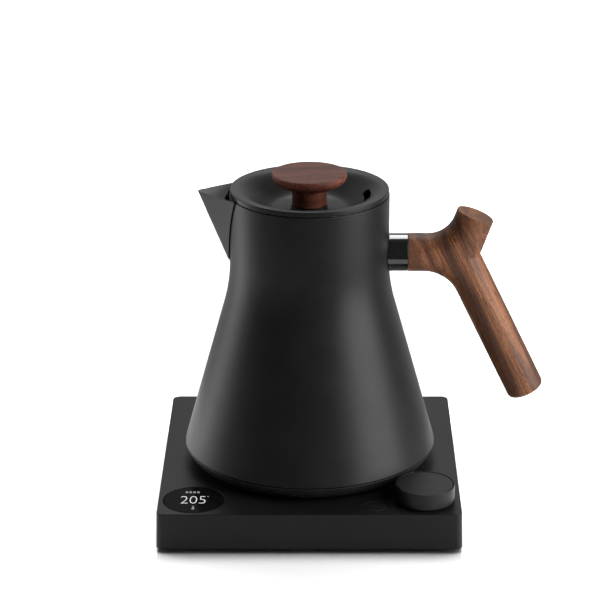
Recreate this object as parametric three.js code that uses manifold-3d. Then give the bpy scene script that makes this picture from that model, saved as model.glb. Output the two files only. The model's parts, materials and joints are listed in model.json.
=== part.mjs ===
// Compact electric kettle: a conical jug with a folded spout and a forked walnut handle,
// standing on a square powered base that carries a round display, a dial and a button.
// Millimetres, +Z up. X runs from the spout to the handle and Y away from the controls.
// The origin is under the middle of the whole kettle, on the surface its feet stand on.

import * as THREE from 'three';
import { mergeVertices } from 'three/addons/utils/BufferGeometryUtils.js';
import Module from 'manifold-3d';

const wasm = await Module();
wasm.setup();

// ---------------------------------------------------------------- driving dimensions

const GAP = 0.35; // clearance between two pieces that meet
const ROUND_SIDES = 40; // facets of the large round pieces
const SMALL_SIDES = 20; // facets of the small round pieces
const TINY_SIDES = 12; // facets of screws and pins

// Base: a drafted square housing on four feet
const BASE_SIDE = 170;
const BASE_TOP = 24;
const BASE_DRAFT = 0.5; // the housing is this much wider per side at the bottom
const BASE_CORNER = 3.5;
const BASE_WALL = 1.8;
const BASE_PLATE = 2.4;
const BASE_BEVEL = 0.6;
const BASE_UNDER_ROUND = 0.8;
const FOOT_HEIGHT = 2.5;
const FOOT_RADIUS = 7;
const FOOT_PLACE = 70;
const BASE_SCREW_X = 76;
const BASE_SCREW_Y = 42;

// Controls on the base, by their centres
const CONTROL_X = 65;
const CONTROL_Y = -65.8;
const LENS_RADIUS = 17;
const DIAL_RADIUS = 16.6;
const DIAL_LIFT = 1; // air under the dial
const DIAL_HEIGHT = 9.25;
const SHAFT_RADIUS = 3;
const BUTTON_X = 37.1;
const BUTTON_Y = -74;
const BUTTON_RADIUS = 6.3;
const BOARD_BOTTOM = 9.9;
const BOARD_THICKNESS = 1.6;
const CORD_HOLE_RADIUS = 3.6;
const CORD_HOLE_Z = 13;

// Connector between base and jug, by radii and by heights over the base top
const CONNECTOR_RADIUS = 17;
const CONNECTOR_RISE = 5.5;
const CONTACT_RING_RADIUS = 13.2;
const CONTACT_DEPTH = 4;
const JUG_CONNECTOR_RADIUS = 20.4;
const JUG_CONNECTOR_FLANGE = 30;

// Jug shell: a cone that runs into a straight neck through a large concave round
const JUG_FOOT_RADIUS = 72.65;
const JUG_FOOT_Z = 9.8;
const NECK_RADIUS = 45.3;
const JUG_TOP_Z = 159.7;
const CONE_SLOPE = 0.2785; // radius lost per unit of height
const NECK_ROUND = 97;
const SHELL_WALL = 0.9;
const COVER_FLAT_RADIUS = 61.5;
const COVER_CLEARANCE = 0.3; // air between the jug's bottom cover and the base top

// Spout: a sheet folded to a V that leans out of the neck
const SPOUT_LEAN = 0.41; // run over rise of its leading edge
const SPOUT_NOSE_X = -63.05;
const SPOUT_TIP_Z = 161.2;
const SPOUT_BACK_DROP = 1; // how much lower the top edge is where it meets the neck
const SPOUT_HALF_ANGLE = THREE.MathUtils.degToRad(40.7);
const SPOUT_FOLD_RADIUS = 3.7;
const SPOUT_SHEET = 0.9;

// Handle: a gloss ferrule, then a walnut fork of three rods of one radius
const ROD_RADIUS = 10.9;
const HANDLE_Z = 124.5;
const FERRULE_END_X = 55.5;
const FORK_X = 85.45; // the two limbs cross here
const FORK_Z = 123.4;
const STUB_LENGTH = 25.2;
const STUB_ANGLE = THREE.MathUtils.degToRad(70); // above the horizontal
const GRIP_LENGTH = 92.7;
const GRIP_ANGLE = THREE.MathUtils.degToRad(-64.25);
const GRIP_END_ROUND = 2.5;
const UPPER_CROTCH_ROUND = 16;
const LOWER_CROTCH_ROUND = 22;

// Lid: a pressed dish with a turned walnut knob
const LID_RADIUS = 44.95;
const LID_TOP_Z = 162.85;
const LID_RIM_HEIGHT = 2.8;
const LID_SHEET = 1;
const DISH_LIP_RADIUS = 42.6;
const DISH_FLOOR_RADIUS = 19.5;
const DISH_FLOOR_Z = 151;
const VENT_RADIUS = 32.8;
const VENT_HALF_ANGLE = THREE.MathUtils.degToRad(12);
const VENT_WIDTH = 3.8;
const LID_SKIRT_RADIUS = 43.3;
const LID_SKIRT_WALL = 0.8;
const LID_SKIRT_BOTTOM_Z = 146;
const KNOB_TOP_Z = 171.9;
const KNOB_RADIUS = 21.3;
const KNOB_STEM_RADIUS = 9.8;

// ---------------------------------------------------------------- materials

const finish = (color, roughness, metalness = 0) =>
  new THREE.MeshStandardMaterial({ color, roughness, metalness });

const blackCoat = finish(0x1c1c1d, 0.6, 0.2);
const blackPlastic = finish(0x18181a, 0.7);
const darkPlastic = finish(0x26262a, 0.8);
const glossBlack = finish(0x070708, 0.12, 0.1);
const walnut = finish(0x6a4331, 0.55);
const steel = finish(0xb9babb, 0.35, 1);
const aluminium = finish(0xc7c8ca, 0.5, 1);
const brass = finish(0xc29b4e, 0.35, 1);
const rubber = finish(0x101010, 0.9);
const silicone = finish(0x2b2b2c, 0.75);
const boardGreen = finish(0x1f4a33, 0.6);

// ---------------------------------------------------------------- geometry helpers

// Merges shared vertices and drops triangles that closed up to a line
function weld(geometry) {
  const bare = geometry.clone();
  bare.deleteAttribute('normal');
  bare.deleteAttribute('uv');
  const merged = mergeVertices(bare, 1e-4);
  const index = merged.getIndex().array;
  const kept = [];
  for (let i = 0; i < index.length; i += 3) {
    const [a, b, c] = index.slice(i, i + 3);
    if (a !== b && b !== c && c !== a) kept.push(a, b, c);
  }
  merged.setIndex(kept);
  return merged;
}

function toSolid(geometry) {
  const welded = weld(geometry);
  const vertProperties = new Float32Array(welded.getAttribute('position').array);
  const triVerts = new Uint32Array(welded.getIndex().array);
  return new wasm.Manifold(new wasm.Mesh({ numProp: 3, vertProperties, triVerts }));
}

function toGeometry(solid) {
  const mesh = solid.getMesh();
  const geometry = new THREE.BufferGeometry();
  geometry.setAttribute('position', new THREE.BufferAttribute(mesh.vertProperties, 3));
  geometry.setIndex(new THREE.BufferAttribute(mesh.triVerts, 1));
  return geometry;
}

const join = (first, ...others) =>
  toGeometry(others.reduce((sum, other) => sum.add(toSolid(other)), toSolid(first)));

const cut = (first, ...tools) =>
  toGeometry(tools.reduce((rest, tool) => rest.subtract(toSolid(tool)), toSolid(first)));

const at = (geometry, x, y, z = 0) => geometry.clone().translate(x, y, z);

// Revolves an outline of (radius, height) points about Z
function turned(points, sides = SMALL_SIDES) {
  const outline = points.map(([r, z]) => new THREE.Vector2(r, z));
  const onAxis = outline[0].x === 0 && outline.at(-1).x === 0;
  if (THREE.ShapeUtils.area(outline) < 0) outline.reverse();
  if (!onAxis) outline.push(outline[0].clone());
  return new THREE.LatheGeometry(outline, sides).rotateX(Math.PI / 2);
}

const disc = (radius, bottom, top, sides) =>
  turned([[0, bottom], [radius, bottom], [radius, top], [0, top]], sides);

const ring = (inner, outer, bottom, top, sides) =>
  turned([[inner, bottom], [outer, bottom], [outer, top], [inner, top]], sides);

function block(width, depth, bottom, top, x = 0, y = 0) {
  const geometry = new THREE.BoxGeometry(width, depth, top - bottom);
  return geometry.translate(x, y, (bottom + top) / 2);
}

const trace = (curve, divisions) => curve.getPoints(divisions).map((p) => [p.x, p.y]);

// Points along an elliptical arc, clockwise where the end angle is the smaller one
const ellipse = (x, y, radiusX, radiusY, from, to, divisions) =>
  trace(new THREE.EllipseCurve(x, y, radiusX, radiusY, from, to, to < from), divisions);

const arc = (x, y, radius, from, to, divisions) =>
  ellipse(x, y, radius, radius, from, to, divisions);

function roundedSquare(half, radius) {
  const centre = half - radius;
  const quarter = Math.PI / 2;
  const corners = [[1, 1], [-1, 1], [-1, -1], [1, -1]];
  return corners.flatMap(([sx, sy], i) =>
    arc(sx * centre, sy * centre, radius, i * quarter, (i + 1) * quarter, 3));
}

// Skins a stack of convex level outlines with equal point counts, lowest first
function loft(levels) {
  const count = levels[0].outline.length;
  const last = (levels.length - 1) * count;
  const positions = levels.flatMap(({ z, outline }) => outline.flatMap(([x, y]) => [x, y, z]));
  const index = [];
  for (let start = 0; start < last; start += count) {
    for (let i = 0; i < count; i += 1) {
      const j = (i + 1) % count;
      index.push(start + i, start + j, start + count + j);
      index.push(start + i, start + count + j, start + count + i);
    }
  }
  for (let i = 1; i < count - 1; i += 1) {
    index.push(0, i + 1, i);
    index.push(last, last + i, last + i + 1);
  }
  const geometry = new THREE.BufferGeometry();
  geometry.setAttribute('position', new THREE.Float32BufferAttribute(positions, 3));
  geometry.setIndex(index);
  return geometry;
}

// Lays a solid that was turned about Z along a direction in the XZ plane, from a start point
const alongXZ = (geometry, angle, x, z) =>
  geometry.rotateY(Math.PI / 2 - angle).translate(x, 0, z);

function piece(name, geometry, material) {
  const mesh = new THREE.Mesh(weld(geometry), material);
  mesh.name = name;
  return mesh;
}

// ---------------------------------------------------------------- base

const CORNERS = [
  ['front_left', -1, -1],
  ['front_right', 1, -1],
  ['rear_left', -1, 1],
  ['rear_right', 1, 1],
];
const BASE_BOTTOM = FOOT_HEIGHT;
const PLATE_UNDERSIDE = BASE_TOP - BASE_PLATE;
const COVER_TOP = BASE_BOTTOM + GAP + 2;
const BOARD_TOP = BOARD_BOTTOM + BOARD_THICKNESS;
const BOSS_RADIUS = 3.6;
const SCREW_SHANK = 1.4;

// Half width of the drafted housing at a height
const housingHalf = (z) =>
  BASE_SIDE / 2 + (BASE_DRAFT * (BASE_TOP - z)) / (BASE_TOP - BASE_BOTTOM);

function baseHousing() {
  const level = (z, inset) => ({ z, outline: roundedSquare(housingHalf(z) - inset, BASE_CORNER) });
  const underRound = [0, 30, 60].map((degrees) => {
    const turn = THREE.MathUtils.degToRad(degrees);
    const inset = BASE_UNDER_ROUND * (1 - Math.sin(turn));
    return level(BASE_BOTTOM + BASE_UNDER_ROUND * (1 - Math.cos(turn)), inset);
  });
  const outside = loft([
    ...underRound,
    level(BASE_BOTTOM + BASE_UNDER_ROUND, 0),
    level(BASE_TOP - BASE_BEVEL, 0),
    level(BASE_TOP, BASE_BEVEL),
  ]);
  const cavity = loft([level(BASE_BOTTOM - 1, BASE_WALL), level(PLATE_UNDERSIDE, BASE_WALL)]);
  const shell = cut(outside, cavity);
  const bosses = CORNERS.map(([, sx, sy]) =>
    at(disc(BOSS_RADIUS, COVER_TOP + GAP, PLATE_UNDERSIDE + 1, 16), sx * BASE_SCREW_X, sy * BASE_SCREW_Y));
  const pilots = CORNERS.map(([, sx, sy]) =>
    at(disc(SCREW_SHANK + GAP, 0, 14, TINY_SIDES), sx * BASE_SCREW_X, sy * BASE_SCREW_Y));
  const through = (radius, x, y) => at(disc(radius, PLATE_UNDERSIDE - 1, BASE_TOP + 1, 32), x, y);
  return cut(
    join(shell, ...bosses),
    ...pilots,
    through(LENS_RADIUS + GAP, -CONTROL_X, CONTROL_Y),
    through(SHAFT_RADIUS + GAP, CONTROL_X, CONTROL_Y),
    through(BUTTON_RADIUS + GAP, BUTTON_X, BUTTON_Y),
    through(CONNECTOR_RADIUS + GAP, 0, 0),
    disc(CORD_HOLE_RADIUS + 1.8 + GAP, 70, 95).rotateX(-Math.PI / 2).translate(0, 0, CORD_HOLE_Z),
  );
}

function baseBottomCover() {
  const half = housingHalf(BASE_BOTTOM) - BASE_WALL - GAP;
  const outline = roundedSquare(half, BASE_CORNER);
  const plate = loft([{ z: BASE_BOTTOM + GAP, outline }, { z: COVER_TOP, outline }]);
  const post = disc(2.6, COVER_TOP - 1, BOARD_BOTTOM - GAP, TINY_SIDES);
  const controlPosts = [-66, -22, 22, 66].map((x) => at(post, x, -75));
  const powerPosts = [-54, -18, 18, 54].map((x) => at(post, x, 40));
  const screwHoles = CORNERS.map(([, sx, sy]) =>
    at(disc(SCREW_SHANK + GAP, 0, COVER_TOP + 1, TINY_SIDES), sx * BASE_SCREW_X, sy * BASE_SCREW_Y));
  return cut(join(plate, ...controlPosts, ...powerPosts), ...screwHoles);
}

// Pan-head screw that points up, its head under a given height
const screwUp = (headRadius, headHeight, shankRadius, length, under) =>
  turned([
    [0, under - headHeight], [headRadius * 0.8, under - headHeight],
    [headRadius, under - headHeight * 0.6], [headRadius, under],
    [shankRadius, under], [shankRadius, under + length - 1], [0, under + length],
  ], TINY_SIDES);

function powerConnector() {
  const top = BASE_TOP + CONNECTOR_RISE;
  const flangeTop = PLATE_UNDERSIDE - GAP;
  const flangeBottom = flangeTop - 2.5;
  const grooveInner = CONTACT_RING_RADIUS - 1.2;
  const grooveOuter = CONTACT_RING_RADIUS + 1.2;
  const grooveFloor = BASE_TOP - 6;
  const body = turned([
    [0, flangeBottom - 4], [grooveOuter + 1.6, flangeBottom - 4], [grooveOuter + 1.6, flangeBottom],
    [CONNECTOR_RADIUS + 6, flangeBottom], [CONNECTOR_RADIUS + 6, flangeTop],
    [CONNECTOR_RADIUS, flangeTop], [CONNECTOR_RADIUS, top - 0.8], [CONNECTOR_RADIUS - 0.8, top],
    [grooveOuter, top], [grooveOuter, grooveFloor], [grooveInner, grooveFloor], [grooveInner, top],
    [2.6, top], [2.6, grooveFloor], [0, grooveFloor],
  ], 32);
  return body;
}

function baseGroup() {
  const group = new THREE.Group();
  group.add(piece('base_housing', baseHousing(), blackCoat));
  group.add(piece('base_bottom_cover', baseBottomCover(), blackPlastic));
  for (const [corner, sx, sy] of CORNERS) {
    const foot = piece(`foot_${corner}`, turned([
      [0, 0], [FOOT_RADIUS - 0.6, 0], [FOOT_RADIUS, 0.6], [FOOT_RADIUS, FOOT_HEIGHT], [0, FOOT_HEIGHT],
    ]), rubber);
    foot.position.set(sx * FOOT_PLACE, sy * FOOT_PLACE, 0);
    const screw = piece(`base_screw_${corner}`,
      screwUp(2.7, 1.4, SCREW_SHANK, 10, BASE_BOTTOM), steel);
    screw.position.set(sx * BASE_SCREW_X, sy * BASE_SCREW_Y, 0);
    group.add(foot, screw);
  }
  group.add(piece('power_connector', powerConnector(), blackPlastic));

  const lensBottom = BASE_TOP - 1.6;
  const lens = piece('display_lens', disc(LENS_RADIUS, lensBottom, BASE_TOP, 32), glossBlack);
  const frame = piece('display_frame',
    ring(LENS_RADIUS - 1.8, LENS_RADIUS, lensBottom - GAP - 2.5, lensBottom - GAP, 32), darkPlastic);
  const module = piece('display_module',
    block(20.5, 20.5, lensBottom - GAP - 4.5, lensBottom - GAP), darkPlastic);
  for (const part of [lens, frame, module]) {
    part.position.set(-CONTROL_X, CONTROL_Y, 0);
    group.add(part);
  }

  const control = block(158, 20.6, BOARD_BOTTOM, BOARD_TOP, 0, -69.8);
  group.add(piece('control_board', control, boardGreen));
  group.add(piece('power_board', block(124, 42, BOARD_BOTTOM, BOARD_TOP, 0, 54), boardGreen));
  const partBottom = BOARD_TOP + GAP;
  group.add(piece('transformer', block(28, 26, partBottom, partBottom + 9, -30, 58), darkPlastic));
  group.add(piece('relay', block(19, 15.5, partBottom, partBottom + 9, 32, 60), blackPlastic));
  group.add(piece('filter_capacitor', block(18, 8, partBottom, partBottom + 8.6, 32, 42), brass));
  group.add(piece('buzzer', at(disc(6, partBottom, partBottom + 5.2), 0, -70), blackPlastic));

  const encoderTop = PLATE_UNDERSIDE - GAP;
  const encoder = piece('encoder_body', turned([
    [0, partBottom], [6.6, partBottom], [6.6, encoderTop - 2.4], [4.8, encoderTop - 2.4],
    [4.8, encoderTop], [SHAFT_RADIUS + GAP, encoderTop], [SHAFT_RADIUS + GAP, encoderTop - 3.6],
    [5.6, encoderTop - 3.6], [5.6, partBottom + 0.6], [0, partBottom + 0.6],
  ]), aluminium);
  encoder.position.set(CONTROL_X, CONTROL_Y, 0);
  const keySwitch = piece('button_switch', block(6.2, 6.2, partBottom, partBottom + 4), blackPlastic);
  keySwitch.position.set(BUTTON_X, BUTTON_Y, 0);
  group.add(encoder, keySwitch);

  const wall = housingHalf(CORD_HOLE_Z);
  const bush = turned([
    [CORD_HOLE_RADIUS, wall - 8], [7.4, wall - 8], [7.4, wall - BASE_WALL - GAP],
    [CORD_HOLE_RADIUS + 1.8, wall - BASE_WALL - GAP], [CORD_HOLE_RADIUS + 1.8, wall - 0.1],
    [CORD_HOLE_RADIUS, wall - 0.1],
  ]).rotateX(-Math.PI / 2).translate(0, 0, CORD_HOLE_Z);
  group.add(piece('cord_gland', bush, rubber));
  return group;
}

// ---------------------------------------------------------------- dial and button

function dialGroup() {
  const group = new THREE.Group();
  group.position.set(CONTROL_X, CONTROL_Y, 0);
  const bottom = BASE_TOP + DIAL_LIFT;
  const top = bottom + DIAL_HEIGHT;
  const hollowTop = top - 3;
  const inlayRadius = DIAL_RADIUS - 1;
  const inlayBottom = top - 1.1;
  group.add(piece('dial_cap', turned([
    [0, hollowTop], [SHAFT_RADIUS + GAP, hollowTop], [SHAFT_RADIUS + GAP, bottom + 0.6],
    [5.4, bottom + 0.6], [5.4, hollowTop], [DIAL_RADIUS - 2, hollowTop], [DIAL_RADIUS - 2, bottom],
    [DIAL_RADIUS, bottom], [DIAL_RADIUS, top - 0.3], [DIAL_RADIUS - 0.3, top],
    [inlayRadius + GAP, top], [inlayRadius + GAP, inlayBottom - GAP], [0, inlayBottom - GAP],
  ], 40), blackPlastic));
  group.add(piece('dial_inlay', disc(inlayRadius, inlayBottom, top, 40), blackPlastic));
  const shaftBottom = BOARD_TOP + GAP + 1.8;
  group.add(piece('dial_shaft', disc(SHAFT_RADIUS, shaftBottom, hollowTop - GAP), aluminium));
  const wheel = ring(SHAFT_RADIUS + GAP, 5.2, BOARD_TOP + GAP + 1.1, BOARD_TOP + GAP + 5, SMALL_SIDES);
  group.add(piece('encoder_wheel', wheel, brass));
  return group;
}

function buttonCap() {
  const flangeTop = PLATE_UNDERSIDE - GAP;
  const stemBottom = BOARD_TOP + GAP + 4 + 0.8;
  const cap = piece('button_cap', turned([
    [0, stemBottom], [2, stemBottom], [2, flangeTop - 1.4], [BUTTON_RADIUS + 1.2, flangeTop - 1.4],
    [BUTTON_RADIUS + 1.2, flangeTop], [BUTTON_RADIUS, flangeTop], [BUTTON_RADIUS, BASE_TOP - 0.2],
    [BUTTON_RADIUS - 0.2, BASE_TOP], [0, BASE_TOP],
  ], 32), blackPlastic);
  cap.position.set(BUTTON_X, BUTTON_Y, 0);
  return cap;
}

// ---------------------------------------------------------------- jug

const CONE_ANGLE = Math.atan(CONE_SLOPE);
const CONE_MEETS_NECK_Z = JUG_FOOT_Z + (JUG_FOOT_RADIUS - NECK_RADIUS) / CONE_SLOPE;
const NECK_START_Z = CONE_MEETS_NECK_Z + NECK_ROUND * Math.tan(CONE_ANGLE / 2);

// Radius of the shell's outer face moved outwards by an offset, on its conical stretch
const coneRadius = (z, offset = 0) =>
  JUG_FOOT_RADIUS - CONE_SLOPE * (z - JUG_FOOT_Z) + offset / Math.cos(CONE_ANGLE);

// Outer face of the shell from a foot height to a top height, moved outwards by an offset
function shellFace(offset, bottom, top) {
  const round = arc(NECK_RADIUS + NECK_ROUND, NECK_START_Z, NECK_ROUND - offset,
    Math.PI + CONE_ANGLE, Math.PI, 6);
  return [[coneRadius(bottom, offset), bottom], ...round, [NECK_RADIUS + offset, top]];
}

const filledJug = (offset) => {
  const face = shellFace(offset, JUG_FOOT_Z, JUG_TOP_Z + 10);
  return turned([[0, JUG_FOOT_Z], ...face, [0, JUG_TOP_Z + 10]], ROUND_SIDES);
};

// Level V outline of the spout sheet, its nose at x = 0 and its limbs running to +X
function spoutOutline(inset, reach) {
  const radius = SPOUT_FOLD_RADIUS - inset;
  const limb = Math.PI / 2 + SPOUT_HALF_ANGLE;
  const end = (side) => [
    SPOUT_FOLD_RADIUS + Math.cos(limb) * radius + reach * Math.cos(SPOUT_HALF_ANGLE),
    side * (Math.sin(limb) * radius + reach * Math.sin(SPOUT_HALF_ANGLE))];
  return [end(1), ...arc(SPOUT_FOLD_RADIUS, 0, radius, limb, 2 * Math.PI - limb, 10), end(-1)];
}

// Extrudes a level outline upwards and leans it with the spout's leading edge
function leaningPrism(outline, bottom, top) {
  const shape = new THREE.Shape(outline.map(([x, y]) => new THREE.Vector2(x, y)));
  const prism = new THREE.ExtrudeGeometry(shape, { depth: top - bottom, bevelEnabled: false });
  const lean = new THREE.Matrix4().makeShear(0, 0, 0, 0, -SPOUT_LEAN, 0);
  const noseX = SPOUT_NOSE_X + SPOUT_LEAN * (SPOUT_TIP_Z - bottom);
  return prism.applyMatrix4(lean).translate(noseX, 0, bottom);
}

function spoutSheet() {
  const reach = 36;
  const outline = [...spoutOutline(0, reach), ...spoutOutline(SPOUT_SHEET, reach).reverse()];
  const folded = leaningPrism(outline, 112, SPOUT_TIP_Z + 4);
  const topPitch = Math.atan(SPOUT_BACK_DROP / (-SPOUT_NOSE_X - 41));
  const above = block(80, 80, 0, 20, 40, 0).translate(-10, 0, 0).rotateY(topPitch);
  return cut(folded, filledJug(GAP), above.translate(SPOUT_NOSE_X, 0, SPOUT_TIP_Z));
}

function jugShell() {
  const outer = shellFace(0, JUG_FOOT_Z, JUG_TOP_Z);
  const inner = shellFace(-SHELL_WALL, JUG_FOOT_Z, JUG_TOP_Z);
  const wall = turned([...outer, ...inner.reverse()], ROUND_SIDES);
  const window = leaningPrism(spoutOutline(SPOUT_SHEET + 0.8, 30), 122, 151);
  return cut(wall, window);
}

const PROBE_X = -28;
const FLOOR_Z = 12.4;
const FLOOR_SHEET = 1;
const SPREADER_TOP = FLOOR_Z - GAP;
const SPREADER_BOTTOM = SPREADER_TOP - 2.4;
const COVER_SCREW_RADIUS = 50;
const COVER_SHEET = 1.5;
const THIRDS = [30, 150, 270].map((degrees) => THREE.MathUtils.degToRad(degrees));
const onThird = (geometry, angle) =>
  at(geometry, COVER_SCREW_RADIUS * Math.cos(angle), COVER_SCREW_RADIUS * Math.sin(angle));

function jugFloor() {
  const top = FLOOR_Z + FLOOR_SHEET;
  const edge = (z) => coneRadius(z, -SHELL_WALL - GAP);
  const plate = turned([[0, FLOOR_Z], [edge(FLOOR_Z), FLOOR_Z], [edge(top), top], [0, top]], ROUND_SIDES);
  return cut(plate, at(disc(3, FLOOR_Z - 1, top + 1, 16), PROBE_X, 0));
}

function heatSpreader() {
  const studs = THIRDS.map((angle) =>
    onThird(disc(3.2, SPREADER_BOTTOM - 4.6, SPREADER_BOTTOM + 1, TINY_SIDES), angle));
  const threads = THIRDS.map((angle) =>
    onThird(disc(SCREW_SHANK + GAP, 0, SPREADER_BOTTOM - 0.4, TINY_SIDES), angle));
  const plate = join(disc(56, SPREADER_BOTTOM, SPREADER_TOP, 40), ...studs);
  return cut(plate, ...threads, at(disc(6, 0, FLOOR_Z, 16), PROBE_X, 0));
}

function heatingElement() {
  const arcRadius = 40;
  const centreZ = SPREADER_BOTTOM - GAP - 3;
  class OpenRing extends THREE.Curve {
    getPoint(t) {
      const angle = THREE.MathUtils.degToRad(16 + 328 * t);
      return new THREE.Vector3(arcRadius * Math.cos(angle), arcRadius * Math.sin(angle), centreZ);
    }
  }
  const section = new THREE.Shape().absarc(0, 0, 3, 0, Math.PI * 2);
  return new THREE.ExtrudeGeometry(section, { extrudePath: new OpenRing(), steps: 36, curveSegments: 5 });
}

function jugBottomCover() {
  const skirt = (inset) => {
    const foot = COVER_CLEARANCE + inset;
    const top = JUG_FOOT_Z - GAP;
    const width = JUG_FOOT_RADIUS - 0.7 - COVER_FLAT_RADIUS - inset;
    const side = ellipse(COVER_FLAT_RADIUS, top, width, top - foot, -Math.PI / 2, 0, 5);
    return [[JUG_CONNECTOR_FLANGE + GAP, foot], ...side];
  };
  const shell = turned([...skirt(0), ...skirt(COVER_SHEET).reverse()], ROUND_SIDES);
  const pads = THIRDS.map((angle) =>
    onThird(disc(4.6, COVER_CLEARANCE + 0.5, SPREADER_BOTTOM - 4.6 - GAP, 16), angle));
  const headRoom = THIRDS.map((angle) => onThird(disc(3.1, -1, COVER_CLEARANCE + 2.3, 16), angle));
  const shankRoom = THIRDS.map((angle) =>
    onThird(disc(SCREW_SHANK + GAP, 0, SPREADER_BOTTOM, TINY_SIDES), angle));
  return cut(join(shell, ...pads), ...headRoom, ...shankRoom);
}

// Jug half of the connector: a flanged cup that drops over the raised half in the base
function jugConnector() {
  const mouth = CONNECTOR_RADIUS + 0.6;
  const ceiling = CONNECTOR_RISE + 0.6;
  const flangeTop = COVER_CLEARANCE + COVER_SHEET;
  return turned([
    [0, ceiling], [mouth, ceiling], [mouth, COVER_CLEARANCE], [JUG_CONNECTOR_FLANGE, COVER_CLEARANCE],
    [JUG_CONNECTOR_FLANGE, flangeTop], [JUG_CONNECTOR_RADIUS, flangeTop],
    [JUG_CONNECTOR_RADIUS, ceiling + 2.2], [0, ceiling + 2.2],
  ], 40);
}

// A rod that bends from the level arm into one limb of the fork
function bentRod(angle, insideRound) {
  const bend = insideRound + ROD_RADIUS;
  const turn = Math.sign(angle);
  const axesMeetX = FORK_X + (HANDLE_Z - FORK_Z) / Math.tan(angle);
  const startX = axesMeetX - bend * Math.tan(Math.abs(angle) / 2);
  class Bend extends THREE.Curve {
    getPoint(t) {
      const swept = Math.abs(angle) * t;
      const x = startX + bend * Math.sin(swept);
      const z = HANDLE_Z + turn * bend * (1 - Math.cos(swept));
      return new THREE.Vector3(x, 0, z);
    }
  }
  const section = new THREE.Shape().absarc(0, 0, ROD_RADIUS - 0.02, 0, Math.PI * 2);
  return new THREE.ExtrudeGeometry(section, { extrudePath: new Bend(), steps: 6, curveSegments: 10 });
}

function handleGrip() {
  const armStart = FERRULE_END_X + GAP;
  const arm = alongXZ(disc(ROD_RADIUS, 0, FORK_X - armStart), 0, armStart, HANDLE_Z);
  const stub = alongXZ(turned([
    [0, 0], [ROD_RADIUS, 0], [ROD_RADIUS, STUB_LENGTH - 0.3], [ROD_RADIUS - 0.3, STUB_LENGTH],
    [0, STUB_LENGTH],
  ]), STUB_ANGLE, FORK_X, FORK_Z);
  const endRound = arc(ROD_RADIUS - GRIP_END_ROUND, GRIP_LENGTH - GRIP_END_ROUND, GRIP_END_ROUND,
    0, Math.PI / 2, 4);
  const grip = alongXZ(turned([[0, 0], [ROD_RADIUS, 0], ...endRound, [0, GRIP_LENGTH + 0.3]]),
    GRIP_ANGLE, FORK_X, FORK_Z);
  const knuckle = new THREE.SphereGeometry(ROD_RADIUS, 20, 10).translate(FORK_X, 0, FORK_Z);
  const bore = alongXZ(disc(SHAFT_RADIUS + GAP, -5, 24, 16), 0, FERRULE_END_X, HANDLE_Z);
  const fork = join(arm, stub, grip, knuckle,
    bentRod(STUB_ANGLE, UPPER_CROTCH_ROUND), bentRod(GRIP_ANGLE, LOWER_CROTCH_ROUND));
  return cut(fork, bore);
}

function jugGroup() {
  const group = new THREE.Group();
  group.position.z = BASE_TOP;
  group.add(piece('jug_shell', jugShell(), blackCoat));
  group.add(piece('spout', spoutSheet(), blackCoat));
  group.add(piece('jug_floor', jugFloor(), steel));
  group.add(piece('heat_spreader', heatSpreader(), aluminium));
  group.add(piece('heating_element', heatingElement(), steel));
  group.add(piece('jug_bottom_cover', jugBottomCover(), blackPlastic));
  THIRDS.forEach((angle, i) => {
    const screw = screwUp(2.7, 1.5, SCREW_SHANK, SPREADER_BOTTOM - 3.4, COVER_CLEARANCE + 2);
    group.add(piece(`cover_screw_${i + 1}`, onThird(screw, angle), steel));
  });
  const probe = turned([
    [0, 5], [2.6, 5], [2.6, 21], [1.8, 22.2], [0, 22.6],
  ], 16);
  group.add(piece('temperature_probe', at(probe, PROBE_X, 0), steel));
  const sealBottom = FLOOR_Z + FLOOR_SHEET + GAP;
  const seal = at(ring(2.95, 5.4, sealBottom, sealBottom + 1.8, 16), PROBE_X, 0);
  group.add(piece('probe_seal', seal, silicone));
  for (const [side, y] of [['front', -29], ['rear', 29]]) {
    const cutout = at(disc(6.6, SPREADER_BOTTOM - GAP - 4, SPREADER_BOTTOM - GAP, 16), 0, y);
    group.add(piece(`boil_dry_cutout_${side}`, cutout, aluminium));
  }

  const toBody = (geometry) => cut(alongXZ(geometry, 0, 0, HANDLE_Z), filledJug(GAP));
  const ferrule = ring(7.2, ROD_RADIUS, NECK_RADIUS - 6, FERRULE_END_X);
  group.add(piece('handle_ferrule', toBody(ferrule), glossBlack));
  const boss = ring(SHAFT_RADIUS + GAP, 6.6, NECK_RADIUS - 6, FERRULE_END_X - 1.5);
  group.add(piece('handle_boss', toBody(boss), steel));
  const rod = alongXZ(disc(SHAFT_RADIUS, NECK_RADIUS + 1.2, FERRULE_END_X + 22, 16), 0, 0, HANDLE_Z);
  group.add(piece('handle_rod', rod, steel));
  group.add(piece('handle_grip', handleGrip(), walnut));
  return group;
}

function couplingGroup() {
  const group = new THREE.Group();
  group.position.z = BASE_TOP;
  const ceiling = CONNECTOR_RISE + 0.6 - GAP;
  group.add(piece('jug_connector', jugConnector(), blackPlastic));
  group.add(piece('earth_pin', disc(1.9, -CONTACT_DEPTH, ceiling, 16), brass));
  const live = ring(CONTACT_RING_RADIUS - 0.5, CONTACT_RING_RADIUS + 0.5, -CONTACT_DEPTH, ceiling, 32);
  group.add(piece('contact_ring', live, brass));
  return group;
}

// ---------------------------------------------------------------- lid

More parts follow.
